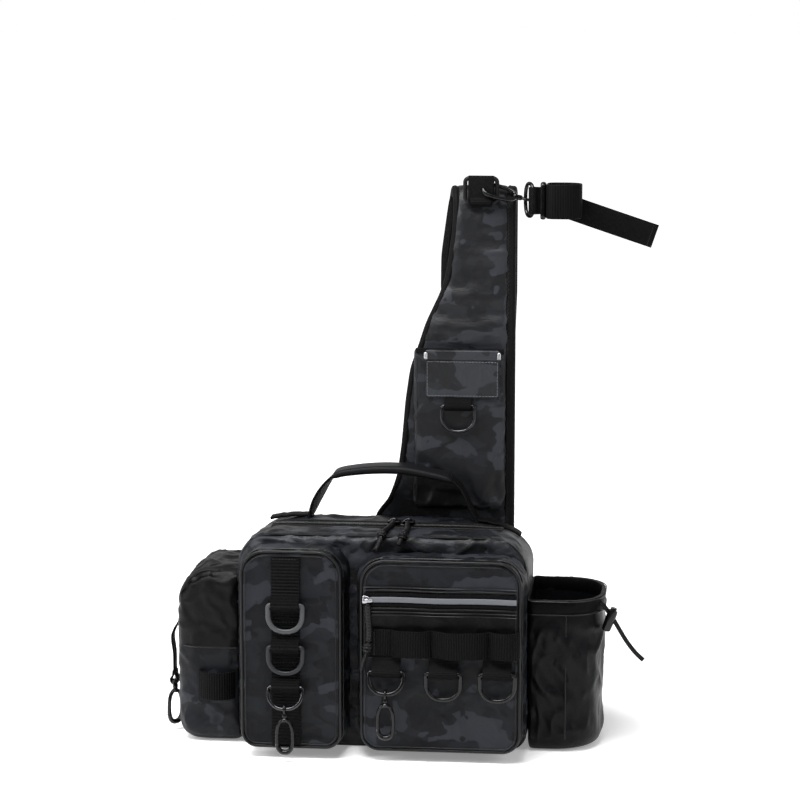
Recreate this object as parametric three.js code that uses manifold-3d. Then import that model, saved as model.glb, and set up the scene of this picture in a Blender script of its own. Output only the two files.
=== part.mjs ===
// Fishing tackle sling bag: main compartment, four outer pockets, folded sling strap and its hardware.
// Millimetres. X runs to the right seen from the front, Y to the back, Z up. The bag stands on Z = 0.
import * as THREE from "three";
import { mergeVertices } from "three/addons/utils/BufferGeometryUtils.js";
import Module from "manifold-3d";

const wasm = await Module();
wasm.setup();

// Clearances: CONTACT lies between pieces that rest on each other, RUNNING round a ring's bar
const CONTACT = 0.3;
const RUNNING = 0.5;

// Cloth and webbing
const CLOTH = 2.2;
const WEBBING = 1.6;
const WEBBING_WIDTH = 24;

// Main compartment
const BODY = {
  width: 246,
  depth: 95,
  height: 184,
  topLeftRadius: 30,
  topRightRadius: 32,
  baseRadius: 16,
  edgeRadius: 7,
};
const MAIN_ZIP = { width: 26, endInset: 24 };
const MAIN_SLIDER = { length: 11, width: 7, height: 5, place: 5.7, apart: 1.2 };

// Front pockets: the face is the front panel, the gusset widens from it to the body
const POCKET_PROJECTION = 39.7;
const POCKET_LIFT = 10;
const LEFT_POCKET = {
  centre: -71.8,
  width: 83,
  height: 167,
  flareLeft: 3,
  flareRight: 4,
  flareTop: 0,
  topRadius: 20,
  baseRadius: 13,
};
const RIGHT_POCKET = {
  centre: 53.1,
  width: 131.8,
  height: 161,
  flareLeft: 8,
  flareRight: 4,
  flareTop: 0,
  topRadius: 20,
  baseRadius: 15,
};
const POCKET_EDGE = 3;

// D-rings: the bar is round and lies in a webbing loop, the bow hangs below it
const RING = { innerWidth: WEBBING_WIDTH + 1, height: 26, wireWide: 3.8, wireThick: 3.2, shoulder: 2.4 };
const SMALL_RING_HEIGHT = 22;
const HOOK_RING_TILT = 20;
const LOOP_HOLE = RING.wireWide / 2 + RUNNING + 0.4;

// Snap hooks: an eye round a ring's wire, a short neck and a long closed bow
const HOOK = { length: 43, width: 16.5, wire: 3.4, eyeWire: 2.2, neck: 4.6 };

// Ribbed webbing on the left pocket, its rings' bars as drops below its upper end
const DAISY = { belowTop: 5, ringDrops: [39.4, 75, 109], tail: 50, offCentre: -3.7 };

// Zip, tool band and ring tabs of the right pocket, measured from the pocket's own edges and centre
const POCKET_ZIP = { belowTop: 32.2, tape: 11, strip: 5, ridge: 1, leftInset: 9.8, rightInset: 3 };
const POCKET_SLIDER = { length: 8, width: 6.4, height: 4 };
const TOOL_BAND = {
  height: 22.8,
  belowTop: 57.1,
  leftInset: 8.8,
  rightInset: 1,
  bulge: 10,
  bulges: [
    { from: 0.14, to: 0.41, share: 0.8 },
    { from: 0.41, to: 0.8, share: 1 },
    { from: 0.8, to: 1, share: 0.8 },
  ],
};
const RING_TABS = { drop: 13.1, places: [-44.5, 2.8, 47.5] };

// Side pockets
const SIDE_POCKET = { projection: 52, depth: 92, height: 152, cornerRadius: 14 };
const SIDE_LOOP = { height: 24, base: 40, fromBody: 2.7, length: 30, depth: 10 };
const BOTTLE_POCKET = {
  projection: 61.7,
  depth: 92,
  height: 119,
  outerRadius: 34,
  innerRadius: 4,
  baseRadius: 16,
  rimHeight: 12,
  rimProud: 0.8,
};

// Carry handle, a webbing strip in a tapered grip that passes in front of the strap's pouch
const HANDLE = { left: -71, right: 76, rise: 44, width: 20, thickness: 2.4 };
const GRIP = { margin: 2.5, thickness: 7.2, clearance: 2 };

// Sling strap: it starts behind the body, below its top and inside its right end, and folds over at the top
const STRAP = { fromRight: 18, width: 122, thickness: 9, overlap: 34, rise: 319.5, foldGap: 13 };

// Pouch, flap and ring on the strap: insets from the strap's right edge, the pouch's base from the
// strap's base, the flap below the pouch's top, the ring's bar below the flap
const STRAP_POUCH = { rightInset: 7.5, width: 80, base: 39, height: 142, thickness: 7, edge: 4 };
const STRAP_FLAP = { rightInset: 9.6, width: 70, belowTop: 1, height: 40.5, thickness: 2.4 };
const STRAP_RING = { fromRight: 48, drop: 8 };

// Rear of the sling
const REAR_WEBBING = { width: 38, thickness: 2.2, sewn: 32, anchorHeight: 34, anchorLength: 26 };
const BUCKLE = { margin: 6, height: 62, thickness: 12, belowPad: 89, socket: 14 };

// Plastic frame at the top of the strap, measured from the strap's right edge and top
const FRAME = { width: 31, height: 24, fromRight: 29.5, belowTop: 14.5 };

// Rod retaining strap, measured from the frame's bar and from the strap's right edge
const ROD_STRAP = { aboveBar: 2.6, forward: 13.1, fromStrap: 16 };
const ROD_WEBBING = { width: 23, thickness: 1.8 };
const OVAL_RING = { slack: 1, height: 20, wireWide: 3.6, wireThick: 3.2, turn: 62 };
const TRI_GLIDE = { length: 5, wall: 3 };
const ROD_LOOP = { length: 30, depth: 30, height: 29, fromRing: 11, tightCorner: 8, wideCorner: 13 };
const ROD_TAIL = { width: 20.5, length: 66, fall: 18.7, lead: 8, lower: 3, sway: 5 };

// Hanging strap on the left pocket, with its hook's bar at a height above the floor
const HANGING_STRAP = {
  width: 12,
  thickness: 1.6,
  belowTop: 40,
  barHeight: 45,
  stand: 9,
  place: -10,
  loop: 9,
};

// Cords
const PULL_CORD = 3.2;
const DRAW_CORD = 4;
const CORD_LOCK = { diameter: 8.5, length: 24, lean: 20, aboveCord: 0.23, clearance: 0.4 };

// Planes that several pieces share
const bodyFront = -BODY.depth / 2;
const bodyBack = BODY.depth / 2;
const pocketBack = bodyFront - CONTACT;
const pocketFace = pocketBack - POCKET_PROJECTION;
const bodyLeft = -BODY.width / 2;
const bodyRight = BODY.width / 2;
const LOOP_OUTER = LOOP_HOLE + WEBBING;

// The three directions
const AXIS_X = new THREE.Vector3(1, 0, 0);
const AXIS_Y = new THREE.Vector3(0, 1, 0);
const AXIS_Z = new THREE.Vector3(0, 0, 1);

// Turns a manifold solid into a three.js geometry
function toGeometry(solid) {
  const mesh = solid.getMesh();
  const geometry = new THREE.BufferGeometry();
  geometry.setAttribute("position", new THREE.BufferAttribute(mesh.vertProperties, 3));
  geometry.setIndex(new THREE.BufferAttribute(mesh.triVerts, 1));
  return geometry;
}

// Turns a closed three.js geometry into a manifold solid
function toSolid(geometry) {
  const bare = geometry.clone();
  bare.deleteAttribute("normal");
  bare.deleteAttribute("uv");
  const merged = mergeVertices(bare, 1e-4);
  return new wasm.Manifold(
    new wasm.Mesh({
      numProp: 3,
      vertProperties: new Float32Array(merged.attributes.position.array),
      triVerts: new Uint32Array(merged.index.array),
    }),
  );
}

function join(...geometries) {
  return toGeometry(geometries.map(toSolid).reduce((all, next) => all.add(next)));
}

function cut(geometry, ...tools) {
  return toGeometry(tools.map(toSolid).reduce((left, tool) => left.subtract(tool), toSolid(geometry)));
}

function common(first, second) {
  return toGeometry(toSolid(first).intersect(toSolid(second)));
}

function box(low, high) {
  const size = [0, 1, 2].map((axis) => high[axis] - low[axis]);
  const middle = [0, 1, 2].map((axis) => (high[axis] + low[axis]) / 2);
  return new THREE.BoxGeometry(...size).translate(...middle);
}

// Volume with a sign: it is negative where the faces point inwards
function signedVolume(positions, index) {
  let volume = 0;
  const corner = (i) => new THREE.Vector3().fromArray(positions, 3 * i);
  for (let i = 0; i < index.length; i += 3) {
    const [a, b, c] = [corner(index[i]), corner(index[i + 1]), corner(index[i + 2])];
    volume += a.dot(b.cross(c));
  }
  return volume;
}

// Closed solid through rings of points. Open lofts are capped, closed ones join their ends.
function loft(rings, closed = false) {
  const size = rings[0].length;
  const positions = rings.flat().flatMap((point) => [point.x, point.y, point.z]);
  const index = [];
  const spans = closed ? rings.length : rings.length - 1;
  for (let ring = 0; ring < spans; ring += 1) {
    const here = ring * size;
    const there = ((ring + 1) % rings.length) * size;
    for (let i = 0; i < size; i += 1) {
      const next = (i + 1) % size;
      index.push(here + i, here + next, there + next, here + i, there + next, there + i);
    }
  }
  if (!closed) {
    for (const [ring, flip] of [[0, true], [rings.length - 1, false]]) {
      const total = rings[ring].reduce((sum, point) => sum.add(point), new THREE.Vector3());
      const middle = total.divideScalar(size);
      const hub = positions.length / 3;
      positions.push(middle.x, middle.y, middle.z);
      for (let i = 0; i < size; i += 1) {
        const [a, b] = [ring * size + i, ring * size + ((i + 1) % size)];
        index.push(...(flip ? [hub, b, a] : [hub, a, b]));
      }
    }
  }
  if (signedVolume(positions, index) < 0) {
    for (let i = 0; i < index.length; i += 3) [index[i + 1], index[i + 2]] = [index[i + 2], index[i + 1]];
  }
  const geometry = new THREE.BufferGeometry();
  geometry.setAttribute("position", new THREE.Float32BufferAttribute(positions, 3));
  geometry.setIndex(index);
  return geometry;
}

// Rectangle with round corners as [across, up] pairs, from the lower right corner anticlockwise
function roundedOutline({ left, right, base, top, radii, steps = 5 }) {
  const corners = [
    { across: right, up: base, radius: radii.baseRight, start: -90, toAcross: -1, toUp: 1 },
    { across: right, up: top, radius: radii.topRight, start: 0, toAcross: -1, toUp: -1 },
    { across: left, up: top, radius: radii.topLeft, start: 90, toAcross: 1, toUp: -1 },
    { across: left, up: base, radius: radii.baseLeft, start: 180, toAcross: 1, toUp: 1 },
  ];
  return corners.flatMap(({ across, up, radius, start, toAcross, toUp }) =>
    Array.from({ length: steps + 1 }, (_, step) => {
      const angle = THREE.MathUtils.degToRad(start + (90 * step) / steps);
      return [
        across + toAcross * radius + radius * Math.cos(angle),
        up + toUp * radius + radius * Math.sin(angle),
      ];
    }),
  );
}

// The same outline drawn in by an inset, with its corners drawn in too
function insetOutline(outline, inset) {
  const radii = {};
  for (const [corner, radius] of Object.entries(outline.radii)) radii[corner] = Math.max(radius - inset, 0.8);
  return {
    ...outline,
    left: outline.left + inset,
    right: outline.right - inset,
    base: outline.base + inset,
    top: outline.top - inset,
    radii,
  };
}

// Quarter round as rows of depth below the face and inset from the side
function quarterRound(radius, steps) {
  return Array.from({ length: steps + 1 }, (_, step) => {
    const angle = (Math.PI / 2) * (step / steps);
    return { depth: radius * (1 - Math.sin(angle)), inset: radius * (1 - Math.cos(angle)) };
  });
}

// Frames that put a flat drawing into the bag: front drawings face the viewer, side ones run along X
const FRONT_FRAME = new THREE.Matrix4().makeBasis(
  new THREE.Vector3(1, 0, 0),
  new THREE.Vector3(0, 0, 1),
  new THREE.Vector3(0, -1, 0),
);
const SIDE_FRAME = new THREE.Matrix4().makeBasis(
  new THREE.Vector3(0, 1, 0),
  new THREE.Vector3(0, 0, 1),
  new THREE.Vector3(1, 0, 0),
);

function extrude(outline, depth, holes = []) {
  const shape = new THREE.Shape(outline.map(([x, y]) => new THREE.Vector2(x, y)));
  shape.holes = holes.map((hole) => new THREE.Path(hole.map(([x, y]) => new THREE.Vector2(x, y))));
  return new THREE.ExtrudeGeometry(shape, { depth, bevelEnabled: false });
}

function outlineRing(outline, toPoint) {
  return roundedOutline(outline).map(([a, b]) => toPoint(a, b));
}

function circle(centre, radius, sides) {
  return Array.from({ length: sides }, (_, side) => {
    const angle = (2 * Math.PI * side) / sides;
    return [centre[0] + radius * Math.cos(angle), centre[1] + radius * Math.sin(angle)];
  });
}

// Section swept along a route of points. The across direction stays fixed, the section holds
// [across, outward] pairs, and outward is square to both the route and the across direction.
function sweep(route, across, sectionAt, closed = false) {
  const count = route.length;
  const rings = route.map((point, i) => {
    const before = closed ? route[(i + count - 1) % count] : route[Math.max(i - 1, 0)];
    const after = closed ? route[(i + 1) % count] : route[Math.min(i + 1, count - 1)];
    const along = after.clone().sub(before).normalize();
    const outward = along.clone().cross(across).normalize();
    return sectionAt(i / (count - 1)).map(([a, b]) =>
      point.clone().addScaledVector(across, a).addScaledVector(outward, b),
    );
  });
  return loft(rings, closed);
}

function rectangle(width, thickness) {
  return [
    [-width / 2, -thickness / 2],
    [width / 2, -thickness / 2],
    [width / 2, thickness / 2],
    [-width / 2, thickness / 2],
  ];
}

function ellipse(width, thickness, sides) {
  return Array.from({ length: sides }, (_, side) => {
    const angle = (2 * Math.PI * (side + 0.5)) / sides;
    return [(width / 2) * Math.cos(angle), (thickness / 2) * Math.sin(angle)];
  });
}

function smoothRoute(points, steps) {
  const curve = new THREE.CatmullRomCurve3(points.map((point) => new THREE.Vector3(...point)));
  return curve.getSpacedPoints(steps);
}

// Round cord along a route: a circle of a few sides extruded along the curve
function cordTube(points, diameter, steps) {
  const curve = new THREE.CatmullRomCurve3(points.map((point) => new THREE.Vector3(...point)));
  const section = new THREE.Shape(circle([0, 0], diameter / 2, 8).map(([x, y]) => new THREE.Vector2(x, y)));
  return new THREE.ExtrudeGeometry(section, { steps, extrudePath: curve, bevelEnabled: false });
}

// Main compartment

function bodyOutline() {
  return {
    left: bodyLeft,
    right: bodyRight,
    base: 0,
    top: BODY.height,
    radii: {
      baseRight: BODY.baseRadius,
      topRight: BODY.topRightRadius,
      topLeft: BODY.topLeftRadius,
      baseLeft: BODY.baseRadius,
    },
  };
}

function bodyBlock(inset) {
  const outline = insetOutline(bodyOutline(), inset);
  const edge = quarterRound(BODY.edgeRadius, 3);
  const front = edge.toReversed().map(({ depth, inset: drawn }) => ({ y: bodyFront + inset + depth, drawn }));
  const back = edge.map(({ depth, inset: drawn }) => ({ y: bodyBack - inset - depth, drawn }));
  return loft(
    [...front, ...back].map(({ y, drawn }) =>
      outlineRing(insetOutline(outline, drawn), (x, z) => new THREE.Vector3(x, y, z)),
    ),
  );
}

function bodyWalls() {
  return cut(bodyBlock(0), bodyBlock(CLOTH));
}

function zipSlot(clearance) {
  const half = MAIN_ZIP.width / 2 - clearance;
  const reach = BODY.width / 2 - MAIN_ZIP.endInset - clearance;
  return box([-reach, -half, BODY.height / 2], [reach, half, BODY.height + CLOTH]);
}

function bodyShell() {
  return cut(bodyWalls(), zipSlot(0));
}

function mainZip() {
  return common(bodyWalls(), zipSlot(CONTACT));
}

// Zip slider: a low block with a waist, drawn from above
function zipSlider(length, width, height) {
  const waist = width * 0.32;
  const outline = [
    [-length / 2, -width / 2],
    [-length / 6, -width / 2],
    [length / 6, -waist],
    [length / 2, -waist],
    [length / 2, waist],
    [length / 6, waist],
    [-length / 6, width / 2],
    [-length / 2, width / 2],
  ];
  return extrude(outline, height);
}

const mainSliders = {
  left: MAIN_SLIDER.place,
  right: MAIN_SLIDER.place + MAIN_SLIDER.length + MAIN_SLIDER.apart,
};

function mainZipSlider(place) {
  const geometry = zipSlider(MAIN_SLIDER.length, MAIN_SLIDER.width, MAIN_SLIDER.height);
  return geometry.translate(place, 0, BODY.height + CONTACT);
}

// Cord pulls of the main zip: they lie forward over the top and down to the top of the right pocket
const pullRise = BODY.height + CONTACT + PULL_CORD / 2;
const pullRest = POCKET_LIFT + RIGHT_POCKET.height + CONTACT + PULL_CORD / 2;
const MAIN_PULL_LEFT = [
  [mainSliders.left, -MAIN_SLIDER.width / 2 - PULL_CORD, pullRise + 1],
  [mainSliders.left - 2, -20, pullRise + 0.2],
  [mainSliders.left - 4, -34, pullRise + 0.2],
  [mainSliders.left - 5, bodyFront + 4, pullRise + 0.2],
  [mainSliders.left - 6, bodyFront - 2, pullRise - 3],
  [mainSliders.left - 8, bodyFront - 7, pullRest + 4],
  [mainSliders.left - 10, bodyFront - 13, pullRest + 0.4],
];
const MAIN_PULL_RIGHT = [
  [mainSliders.right, -MAIN_SLIDER.width / 2 - PULL_CORD, pullRise + 1],
  [mainSliders.right + 1, -20, pullRise + 0.2],
  [mainSliders.right + 2, -34, pullRise + 0.2],
  [mainSliders.right + 1, bodyFront + 4, pullRise + 0.2],
  [mainSliders.right - 1, bodyFront - 2, pullRise - 3],
  [mainSliders.right - 3, bodyFront - 5, pullRest + 4.5],
];

// Front pockets

// Outline of a front pocket at a share of the way from its face to the body
function pocketOutline(pocket, share) {
  return {
    left: pocket.centre - pocket.width / 2 - pocket.flareLeft * share,
    right: pocket.centre + pocket.width / 2 + pocket.flareRight * share,
    base: POCKET_LIFT,
    top: POCKET_LIFT + pocket.height + pocket.flareTop * share,
    radii: {
      baseRight: pocket.baseRadius,
      topRight: pocket.topRadius,
      topLeft: pocket.topRadius,
      baseLeft: pocket.baseRadius,
    },
  };
}

function pocketBlock(pocket, inset, overrun) {
  const edge = quarterRound(POCKET_EDGE, 2).toReversed();
  const rows = edge.map(({ depth, inset: drawn }) => ({ y: pocketFace + inset + depth, drawn, share: 0 }));
  rows.push({ y: pocketFace + POCKET_PROJECTION / 2, drawn: 0, share: 0.4 });
  rows.push({ y: pocketBack + overrun, drawn: 0, share: 1 });
  return loft(
    rows.map(({ y, drawn, share }) => {
      const outline = insetOutline(pocketOutline(pocket, share), drawn + inset);
      return outlineRing(outline, (x, z) => new THREE.Vector3(x, y, z));
    }),
  );
}

function frontPocket(pocket) {
  return cut(pocketBlock(pocket, 0, 0), pocketBlock(pocket, CLOTH, CLOTH));
}

// Webbing with a loop for each bar, drawn from the side as [place, height] pairs in front of its backing
function loopedWebbing(backing, top, base, barHeights, width = WEBBING_WIDTH) {
  const outer = LOOP_OUTER;
  const loopPlace = backing - outer;
  const reach = Math.PI - Math.acos(LOOP_HOLE / outer);
  const steps = 10;
  const outline = [[backing, top], [backing, base]];
  const lowest = Math.min(...barHeights) - outer;
  if (base < lowest) outline.push([backing - WEBBING, base]);
  for (const height of barHeights.toSorted((a, b) => a - b)) {
    for (let step = 0; step <= steps; step += 1) {
      const angle = -reach + (2 * reach * step) / steps;
      outline.push([loopPlace - outer * Math.cos(angle), height + outer * Math.sin(angle)]);
    }
  }
  if (top > Math.max(...barHeights) + outer) outline.push([backing - WEBBING, top]);
  const holes = barHeights.map((height) => circle([loopPlace, height], LOOP_HOLE, 12));
  return extrude(outline, width, holes).applyMatrix4(SIDE_FRAME).translate(-width / 2, 0, 0);
}

// How far in front of its backing a webbing loop carries its bar
const BAR_STAND = CONTACT + LOOP_OUTER;

const daisyCentre = LEFT_POCKET.centre + DAISY.offCentre;
const daisyTop = POCKET_LIFT + LEFT_POCKET.height - DAISY.belowTop;
const daisyBars = DAISY.ringDrops.map((drop) => daisyTop - drop);

function daisyWebbing() {
  const base = Math.min(...daisyBars) - DAISY.tail;
  return loopedWebbing(pocketFace - CONTACT, daisyTop, base, daisyBars).translate(daisyCentre, 0, 0);
}

// D-ring hanging below the middle of its bar, which runs along X
function ring({ innerWidth, height, wireWide, wireThick, shoulder }) {
  const half = innerWidth / 2 + wireWide / 2;
  const drop = height - wireWide;
  const bow = Math.min(half, drop - shoulder);
  const points = [];
  const cornerSteps = 3;
  const bowSteps = 10;
  for (let step = 0; step <= cornerSteps; step += 1) {
    const angle = (Math.PI / 2) * (1 - step / cornerSteps);
    points.push([half - shoulder + shoulder * Math.cos(angle), -shoulder + shoulder * Math.sin(angle)]);
  }
  for (let step = 0; step <= bowSteps; step += 1) {
    const angle = (-Math.PI * step) / bowSteps;
    points.push([half * Math.cos(angle), bow - drop + bow * Math.sin(angle)]);
  }
  for (let step = 0; step <= cornerSteps; step += 1) {
    const angle = Math.PI - (Math.PI / 2) * (step / cornerSteps);
    points.push([-half + shoulder + shoulder * Math.cos(angle), -shoulder + shoulder * Math.sin(angle)]);
  }
  const apart = points.filter(([x, z], i) => {
    const [lastX, lastZ] = points[(i + points.length - 1) % points.length];
    return Math.hypot(x - lastX, z - lastZ) > 0.2;
  });
  const route = apart.map(([x, z]) => new THREE.Vector3(x, 0, z));
  return sweep(route, AXIS_Y, () => ellipse(wireThick, wireWide, 6), true);
}

// Neck and closed bow of a snap hook below a given height, the bow turned about the neck
function hookBody(top, base, turn) {
  const bowTop = top - HOOK.neck;
  const neck = new THREE.CylinderGeometry(HOOK.wire / 2, HOOK.wire * 0.7, HOOK.neck + HOOK.wire / 2, 8)
    .rotateX(Math.PI / 2)
    .translate(0, 0, (top + bowTop) / 2 - HOOK.wire / 4);
  const halfWidth = (HOOK.width - HOOK.wire) / 2;
  const halfLength = (bowTop - base - HOOK.wire) / 2;
  const middle = (bowTop + base) / 2;
  const squareness = 0.75;
  const steps = 18;
  const bowRoute = Array.from({ length: steps }, (_, step) => {
    const angle = (2 * Math.PI * step) / steps;
    const across = Math.sign(Math.cos(angle)) * Math.abs(Math.cos(angle)) ** squareness;
    return new THREE.Vector3(halfWidth * across, 0, middle + halfLength * Math.sin(angle));
  });
  const section = () => ellipse(HOOK.wire * 1.2, HOOK.wire, 6);
  const bow = sweep(bowRoute, AXIS_Y, section, true);
  return join(neck, bow).rotateZ(turn);
}

// Snap hook hanging from the origin: its round eye encloses a wire along X
const eyeRadius = RING.wireThick / 2 + RUNNING + HOOK.eyeWire / 2 + 0.2;

function snapHook(turn = 0) {
  const eyeRoute = circle([0, 0], eyeRadius, 10).map(([y, z]) => new THREE.Vector3(0, y, z));
  const section = () => ellipse(HOOK.eyeWire, HOOK.eyeWire, 6);
  const eye = sweep(eyeRoute, AXIS_X, section, true);
  const base = eyeRadius + HOOK.eyeWire / 2 - HOOK.length;
  return join(eye, hookBody(-eyeRadius, base, turn));
}

// Place of a bow's lowest wire below a ring's bar, with the ring tilted forward
function bowPlace(barY, barZ, height, tilt) {
  const drop = height - RING.wireWide;
  const angle = THREE.MathUtils.degToRad(tilt);
  return { y: barY - drop * Math.sin(angle), z: barZ - drop * Math.cos(angle) };
}

// Edges of the right pocket's face, and the zip and tool band between them
const rightPocketTop = POCKET_LIFT + RIGHT_POCKET.height;
const rightPocketLeft = RIGHT_POCKET.centre - RIGHT_POCKET.width / 2;
const rightPocketRight = RIGHT_POCKET.centre + RIGHT_POCKET.width / 2;
const zipHeight = rightPocketTop - POCKET_ZIP.belowTop;
const zipLeft = rightPocketLeft + POCKET_ZIP.leftInset;
const bandBase = rightPocketTop - TOOL_BAND.belowTop - TOOL_BAND.height;

// Right pocket's zip: a tape with a raised pale strip, drawn from the side
function pocketZip() {
  const backing = pocketFace - CONTACT;
  const half = POCKET_ZIP.tape / 2;
  const ridge = POCKET_ZIP.strip / 2;
  const front = backing - WEBBING;
  const outline = [
    [backing, zipHeight + half],
    [backing, zipHeight - half],
    [front, zipHeight - half],
    [front, zipHeight - ridge],
    [front - POCKET_ZIP.ridge, zipHeight - ridge],
    [front - POCKET_ZIP.ridge, zipHeight + ridge],
    [front, zipHeight + ridge],
    [front, zipHeight + half],
  ];
  const length = rightPocketRight - POCKET_ZIP.rightInset - zipLeft;
  return extrude(outline, length).applyMatrix4(SIDE_FRAME).translate(zipLeft, 0, 0);
}

function pocketZipSlider() {
  const slider = zipSlider(POCKET_SLIDER.length, POCKET_SLIDER.width, POCKET_SLIDER.height);
  const place = zipLeft - CONTACT - POCKET_SLIDER.length / 2;
  return slider.rotateZ(Math.PI).applyMatrix4(FRONT_FRAME).translate(place, pocketFace - CONTACT, zipHeight);
}

// Cord pull of the pocket's zip: down the face, left of the tool band
const sliderFoot = zipHeight - POCKET_SLIDER.width / 2 - CONTACT;
const POCKET_PULL = [
  [zipLeft - 4, pocketFace - 2.6, sliderFoot],
  [zipLeft - 3.4, pocketFace - 2.8, zipHeight - 14.8],
  [zipLeft - 2.8, pocketFace - 2.8, zipHeight - 25.8],
  [zipLeft - 3.2, pocketFace - 2.8, zipHeight - 36],
  [zipLeft - 5, pocketFace - 2.6, zipHeight - 44.8],
  [zipLeft - 7.6, pocketFace - 2.4, zipHeight - 52.8],
  [zipLeft - 9.6, pocketFace - 2.2, zipHeight - 60.4],
];

// Elastic band that lies on its backing and stands off it in bulges, drawn from above
function bulgedBand({ left, right, height, base, backing, bulges }) {
  const inner = [];
  const length = right - left;
  const steps = 8;
  inner.push([left, 0]);
  for (const { from, to, depth } of bulges) {
    for (let step = 0; step <= steps; step += 1) {
      const share = step / steps;
      const stand = depth * Math.sin(Math.PI * share) ** 0.9;
      inner.push([left + length * (from + (to - from) * (0.06 + 0.88 * share)), stand]);
    }
  }
  inner.push([right, 0]);
  const face = inner.map(([x, stand]) => [x, backing - stand - WEBBING]);
  const rear = inner.map(([x, stand]) => [x, backing - stand]).toReversed();
  return extrude([...face, ...rear], height).translate(0, 0, base);
}

function toolBand() {
  return bulgedBand({
    left: rightPocketLeft + TOOL_BAND.leftInset,
    right: rightPocketRight - TOOL_BAND.rightInset,
    height: TOOL_BAND.height,
    base: bandBase,
    backing: pocketFace - CONTACT,
    bulges: TOOL_BAND.bulges.map(({ from, to, share }) => ({ from, to, depth: TOOL_BAND.bulge * share })),
  });
}

const tabCentres = RING_TABS.places.map((place) => RIGHT_POCKET.centre + place);
const tabBar = bandBase - RING_TABS.drop;

function ringTab(centre) {
  const tab = loopedWebbing(pocketFace - CONTACT, bandBase - CONTACT, tabBar - LOOP_OUTER, [tabBar]);
  return tab.translate(centre, 0, 0);
}

// Side pockets

// Left pocket: sections from the body outwards. Out and the insets are shares of the pocket's own sizes.
const SIDE_POCKET_SECTIONS = [
  { out: 0, top: 0, base: 0, front: 0, back: 0 },
  { out: 0.56, top: 0.004, base: 0, front: 0, back: 0 },
  { out: 0.78, top: 0.05, base: 0.004, front: 0.01, back: 0.01 },
  { out: 0.92, top: 0.12, base: 0.03, front: 0.05, back: 0.05 },
  { out: 1, top: 0.22, base: 0.09, front: 0.17, back: 0.17 },
];

const sidePocketBack = bodyLeft - CONTACT;

function sidePocketBlock(inset, overrun) {
  const { projection, depth, height, cornerRadius } = SIDE_POCKET;
  const rings = SIDE_POCKET_SECTIONS.map(({ out, top, base, front, back }) => {
    const outline = insetOutline(
      {
        left: -depth / 2 + front * depth,
        right: depth / 2 - back * depth,
        base: base * height,
        top: height - top * height,
        radii: {
          baseRight: cornerRadius,
          topRight: cornerRadius,
          topLeft: cornerRadius,
          baseLeft: cornerRadius,
        },
      },
      inset,
    );
    const x = sidePocketBack + (out === 0 ? overrun : -out * (projection - inset));
    return outlineRing(outline, (y, z) => new THREE.Vector3(x, y, z));
  });
  return loft(rings);
}

function sidePocket() {
  return cut(sidePocketBlock(0, 0), sidePocketBlock(CLOTH, CLOTH));
}

function sideLoop() {
  const right = sidePocketBack - SIDE_LOOP.fromBody;
  return bulgedBand({
    left: right - SIDE_LOOP.length,
    right,
    height: SIDE_LOOP.height,
    base: SIDE_LOOP.base,
    backing: -SIDE_POCKET.depth / 2 - CONTACT,
    bulges: [{ from: 0, to: 1, depth: SIDE_LOOP.depth }],
  });
}

// Bottle pocket: an open cup beside the body, its outline drawn from above
function bottleOutline(drawn) {
  return insetOutline(
    {
      left: bodyRight + CONTACT,
      right: bodyRight + CONTACT + BOTTLE_POCKET.projection,
      base: -BOTTLE_POCKET.depth / 2,
      top: BOTTLE_POCKET.depth / 2,
      radii: {
        baseRight: BOTTLE_POCKET.outerRadius,
        topRight: BOTTLE_POCKET.outerRadius,
        topLeft: BOTTLE_POCKET.innerRadius,
        baseLeft: BOTTLE_POCKET.innerRadius,
      },
      steps: 6,
    },
    drawn,
  );
}

function bottleBlock(inset, top) {
  const edge = quarterRound(BOTTLE_POCKET.baseRadius, 4).toReversed();
  const rows = edge.map(({ depth, inset: drawn }) => ({ z: inset + depth, drawn: drawn + inset }));
  rows.push({ z: top, drawn: inset });
  return loft(
    rows.map(({ z, drawn }) => outlineRing(bottleOutline(drawn), (x, y) => new THREE.Vector3(x, y, z))),
  );
}

function bottlePocket() {
  const height = BOTTLE_POCKET.height;
  return cut(bottleBlock(0, height), bottleBlock(CLOTH, height + CLOTH));
}

function bottleRim() {
  const outer = roundedOutline(bottleOutline(0));
  const inner = roundedOutline(bottleOutline(CLOTH + BOTTLE_POCKET.rimProud));
  return extrude(outer, BOTTLE_POCKET.rimHeight, [inner]).translate(0, 0, BOTTLE_POCKET.height + CONTACT);
}

// Elastic drawcord of the bottle pocket: out of the rim, through the barrel lock and down to its free end.
// It leaves the rim on its round corner, which has dropped back from the side by cornerDrop there.
const cordPlace = -28;
const cornerCentre = BOTTLE_POCKET.depth / 2 - BOTTLE_POCKET.outerRadius;
const cornerReach = Math.sqrt(BOTTLE_POCKET.outerRadius ** 2 - (cordPlace + cornerCentre) ** 2);
const cornerDrop = BOTTLE_POCKET.outerRadius - cornerReach;
const rimSide = bodyRight + CONTACT + BOTTLE_POCKET.projection - cornerDrop;
const rimMiddle = BOTTLE_POCKET.height + CONTACT + BOTTLE_POCKET.rimHeight / 2;
const DRAWCORD_ROUTE = [
  [rimSide + 1.9, cordPlace, rimMiddle + 1.4],
  [rimSide + 5, cordPlace, rimMiddle - 1.6],
  [rimSide + 8, cordPlace - 0.4, rimMiddle - 5.4],
  [rimSide + 11.2, cordPlace - 0.8, rimMiddle - 9.9],
  [rimSide + 14.8, cordPlace - 1.2, rimMiddle - 15.5],
  [rimSide + 19.6, cordPlace - 1.6, rimMiddle - 23.6],
  [rimSide + 25.4, cordPlace - 2, rimMiddle - 32.6],
  [rimSide + 31.6, cordPlace - 2, rimMiddle - 40.4],
  [rimSide + 38.5, cordPlace - 2, rimMiddle - 47],
];

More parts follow.
